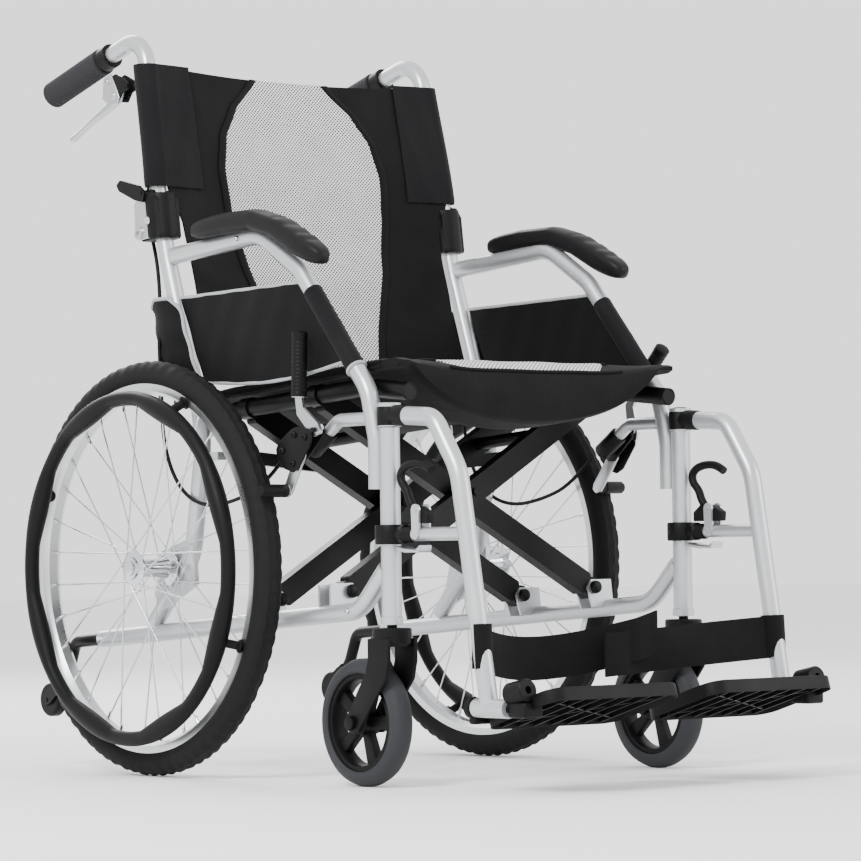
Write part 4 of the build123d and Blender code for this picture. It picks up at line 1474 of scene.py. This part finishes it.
# brake cover plates, on top of the levers
coverOutline = [
    (-0.3170, 0.4200), (-0.3155, 0.4100), (-0.2920, 0.3800), (-0.2800, 0.3745), (-0.2640, 0.3790),
    (-0.2490, 0.3930), (-0.2470, 0.4030), (-0.2520, 0.4120), (-0.2780, 0.4270), (-0.2880, 0.4295),
    (-0.3100, 0.4265),
]
for side, sign in sides.items():
    cover = slab("brakeCover." + side, coverOutline, sign * 0.2640, 0.0028, 0.0009)
    whole = [cover]
    for y, z in ((-0.3050, 0.4165), (-0.2610, 0.4015), (-0.2815, 0.3850), (-0.2840, 0.4200)):
        whole.append(
            domeBolt(f"coverRivet.{side}.{y}", (sign * 0.2652, axleY + y, z), Vector((sign, 0, 0)), 0.0042),
        )
    for y, z in ((-0.3180, 0.4250), (-0.2840, 0.3980)):
        start = Vector((sign * 0.2525, axleY + y, z))
        whole.append(turned(f"coverPost.{side}.{y}", rodProfile(0.0125, 0.003), start, (sign, 0, 0), 20))
    clampLow = Vector((sign * frameX, axleY - 0.283, 0.401))
    clampHigh = Vector((sign * frameX, axleY - 0.316, 0.4235))
    whole.append(
        turned(
            "barClamp." + side,
            [
                (0, 0.0082), (0, 0.0105), (0.0015, 0.0115), (0.0385, 0.0115), (0.040, 0.0105),
                (0.040, 0.0082), (0, 0.0082),
            ],
            clampLow, clampHigh - clampLow, 36,
        ),
    )
    backing = [
        (-0.322, 0.432), (-0.326, 0.420), (-0.290, 0.390), (-0.278, 0.390), (-0.276, 0.402),
        (-0.312, 0.432),
    ]
    whole.append(slab("brakeBacking." + side, backing, sign * 0.2506, 0.0030, 0.0010))
    piece = joined("brakeCover." + side, whole)
    smooth(piece, 40)
    finishPiece(piece, "frame_" + side, "powder", "black_metal", "brake_body_" + side)
print("brake covers made")

shoePivot = (axleY - 0.284, 0.398)
rollerCentre = (axleY - 0.258, 0.353)
shoeOutline = [
    (-0.2935, 0.3950), (-0.2915, 0.4030), (-0.2840, 0.4065), (-0.2770, 0.4020), (-0.2510, 0.3570),
    (-0.2500, 0.3500), (-0.2570, 0.3450), (-0.2660, 0.3490),
]
for side, sign in sides.items():
    arm = slab("shoeArm." + side, shoeOutline, sign * 0.2552, 0.0034, 0.0010)
    knob = turned(
        "shoeKnob." + side,
        [(0, 0), (0, 0.0062), (0.0015, 0.0072), (0.0045, 0.0072), (0.0060, 0.0050), (0.0060, 0)],
        (sign * 0.2568, *rollerCentre), (sign, 0, 0), 28,
    )
    link = joined("shoeArm." + side, [arm, knob])
    roller = turned(
        "shoeRoller." + side,
        [
            (0, 0), (0, 0.0060), (0.002, 0.0080), (0.006, 0.0080), (0.007, 0.0068), (0.009, 0.0068),
            (0.010, 0.0080), (0.038, 0.0080), (0.041, 0.0062), (0.041, 0),
        ],
        (sign * 0.2572, *rollerCentre), (sign, 0, 0), 36,
    )
    if side == "left":
        # the far brake is drawn with its roller eight degrees nearer the tyre
        pivot = Vector((0, *shoePivot))
        pressed = Matrix.Translation(pivot) @ Matrix.Rotation(radians(8), 4, "X") @ Matrix.Translation(
            -pivot,
        )
        for piece in (link, roller):
            piece.matrix_world = pressed
            settle(piece, piece.name)
    smooth(link, 40)
    finishPiece(link, "brake_shoe_" + side, "alloy", "lever_alloy")
    finishPiece(roller, "brake_shoe_" + side, "nylon", "black_plastic", "brake_shoe_" + side)
print("brake shoes made")

# clamps that hold the hand brake levers
for side, sign in sides.items():
    slope = Vector(grip["slope"])
    clampEnd = Vector((sign * grip["end"][0], *grip["end"][1:])) - slope * (grip["length"] + 0.003)
    band = turned(
        "leverBand." + side,
        [
            (-0.018, 0.0111), (-0.018, 0.0150), (-0.017, 0.0160), (-0.001, 0.0160), (0, 0.0150),
            (0, 0.0111), (-0.018, 0.0111),
        ],
        clampEnd, slope, 48,
    )
    mountOutline = [
        (0.150, 0.893), (0.124, 0.901), (0.106, 0.893), (0.097, 0.887), (0.097, 0.879), (0.108, 0.876),
        (0.118, 0.864), (0.134, 0.866),
    ]
    arms = []
    for cheek in (-1, 1):
        armX = sign * gripX + cheek * 0.0072
        arms.append(slab(f"leverMount.{side}.{cheek}", mountOutline, armX, 0.0032, 0.0010))
    barrel = turned(
        "cableBarrel." + side,
        [(0, 0), (0, 0.0042), (0.004, 0.0042), (0.005, 0.0032), (0.013, 0.0032), (0.014, 0), (0.014, 0)],
        (sign * 0.2215, axleY + 0.102, 0.884), (-sign * 0.6, -0.7, 0.1), 20,
    )
    whole = joined("leverClamp." + side, [band, *arms, barrel])
    smooth(whole, 40)
    finishPiece(whole, "back_" + side, "nylon", "black_plastic")
print("lever clamps made")

# hand brake levers, curved and thinning to a ball end


def taperedBlade(name, path, halfDepths, halfWide, x):
    rings = []
    steps = len(path)
    for index, (y, z) in enumerate(path):
        (beforeY, beforeZ), (afterY, afterZ) = path[max(0, index - 1)], path[min(steps - 1, index + 1)]
        run = Vector((afterY - beforeY, afterZ - beforeZ)).normalized()
        ring = []
        for corner in range(12):
            angle = 2 * pi * corner / 12
            rise = halfDepths[index] * sin(angle)
            ring.append((x + halfWide * cos(angle), axleY + y - run.y * rise, z + run.x * rise))
        rings.append(ring)
    piece = ringedMesh(name, rings)
    useModifier(piece, "SUBSURF", levels=2)
    smooth(piece, 60)
    return piece


leverPath = [
    (0.117, 0.884), (0.122, 0.878), (0.130, 0.871), (0.142, 0.864), (0.154, 0.858), (0.170, 0.852),
    (0.186, 0.846), (0.202, 0.8395), (0.216, 0.833), (0.226, 0.829), (0.232, 0.8265), (0.237, 0.825),
]
leverDepth = [0.004, 0.0085, 0.010, 0.0085, 0.0065, 0.0055, 0.005, 0.0046, 0.0044, 0.0050, 0.0056, 0.0034]
for side, sign in sides.items():
    blade = taperedBlade("handLeverBlade." + side, leverPath, leverDepth, 0.0046, sign * gripX)
    eye = turned(
        "handLeverEye." + side, [(0, 0), (0, 0.0048), (0.0015, 0.0056), (0.0035, 0.0040), (0.0038, 0)],
        (sign * 0.2375, axleY + 0.126, 0.872), (sign, 0, 0), 24,
    )
    headOutline = [
        (0.147, 0.897), (0.131, 0.902), (0.119, 0.882), (0.112, 0.869), (0.116, 0.861), (0.134, 0.861),
        (0.150, 0.870),
    ]
    head = slab("handLeverHead." + side, headOutline, sign * 0.2375, 0.0030, 0.0010)
    screw = domeBolt(
        "handLeverScrew." + side, (sign * 0.2388, axleY + 0.137, 0.892), Vector((sign, 0, 0)), 0.0036,
    )
    whole = joined("handLeverBlade." + side, [blade, eye, head, screw])
    finishPiece(whole, "hand_lever_" + side, "alloy", "lever_alloy", "hand_lever_" + side)
print("hand levers made")

# brake cables, held from the grips down to the brakes
cableRoute = [
    (-0.215, 0.094, 0.885), (-0.201, 0.088, 0.872), (-0.206, 0.080, 0.840), (-0.220, 0.068, 0.790),
    (-0.226, 0.068, 0.745), (-0.228, 0.064, 0.700), (-0.230, 0.044, 0.655), (-0.240, 0.024, 0.600),
    (-0.2504, 0.014, 0.545), (-0.2504, 0.009, 0.490), (-0.2504, 0.009, 0.438), (-0.2504, -0.006, 0.388),
    (-0.2504, -0.040, 0.350), (-0.2504, -0.090, 0.336), (-0.2504, -0.150, 0.344),
    (-0.2504, -0.206, 0.362), (-0.2504, -0.248, 0.396),
]
for side, sign in sides.items():
    points = [(-sign * x, axleY + y, z) for x, y, z in cableRoute]
    cable = cordMesh("brakeCable." + side, points, 0.005)
    smooth(cable, 60)
    cable.data.materials.clear()
    cable.data.materials.append(finishes["nylon"])
    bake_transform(cable)
    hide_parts("brake_cable_" + side)
print("brake cables made")
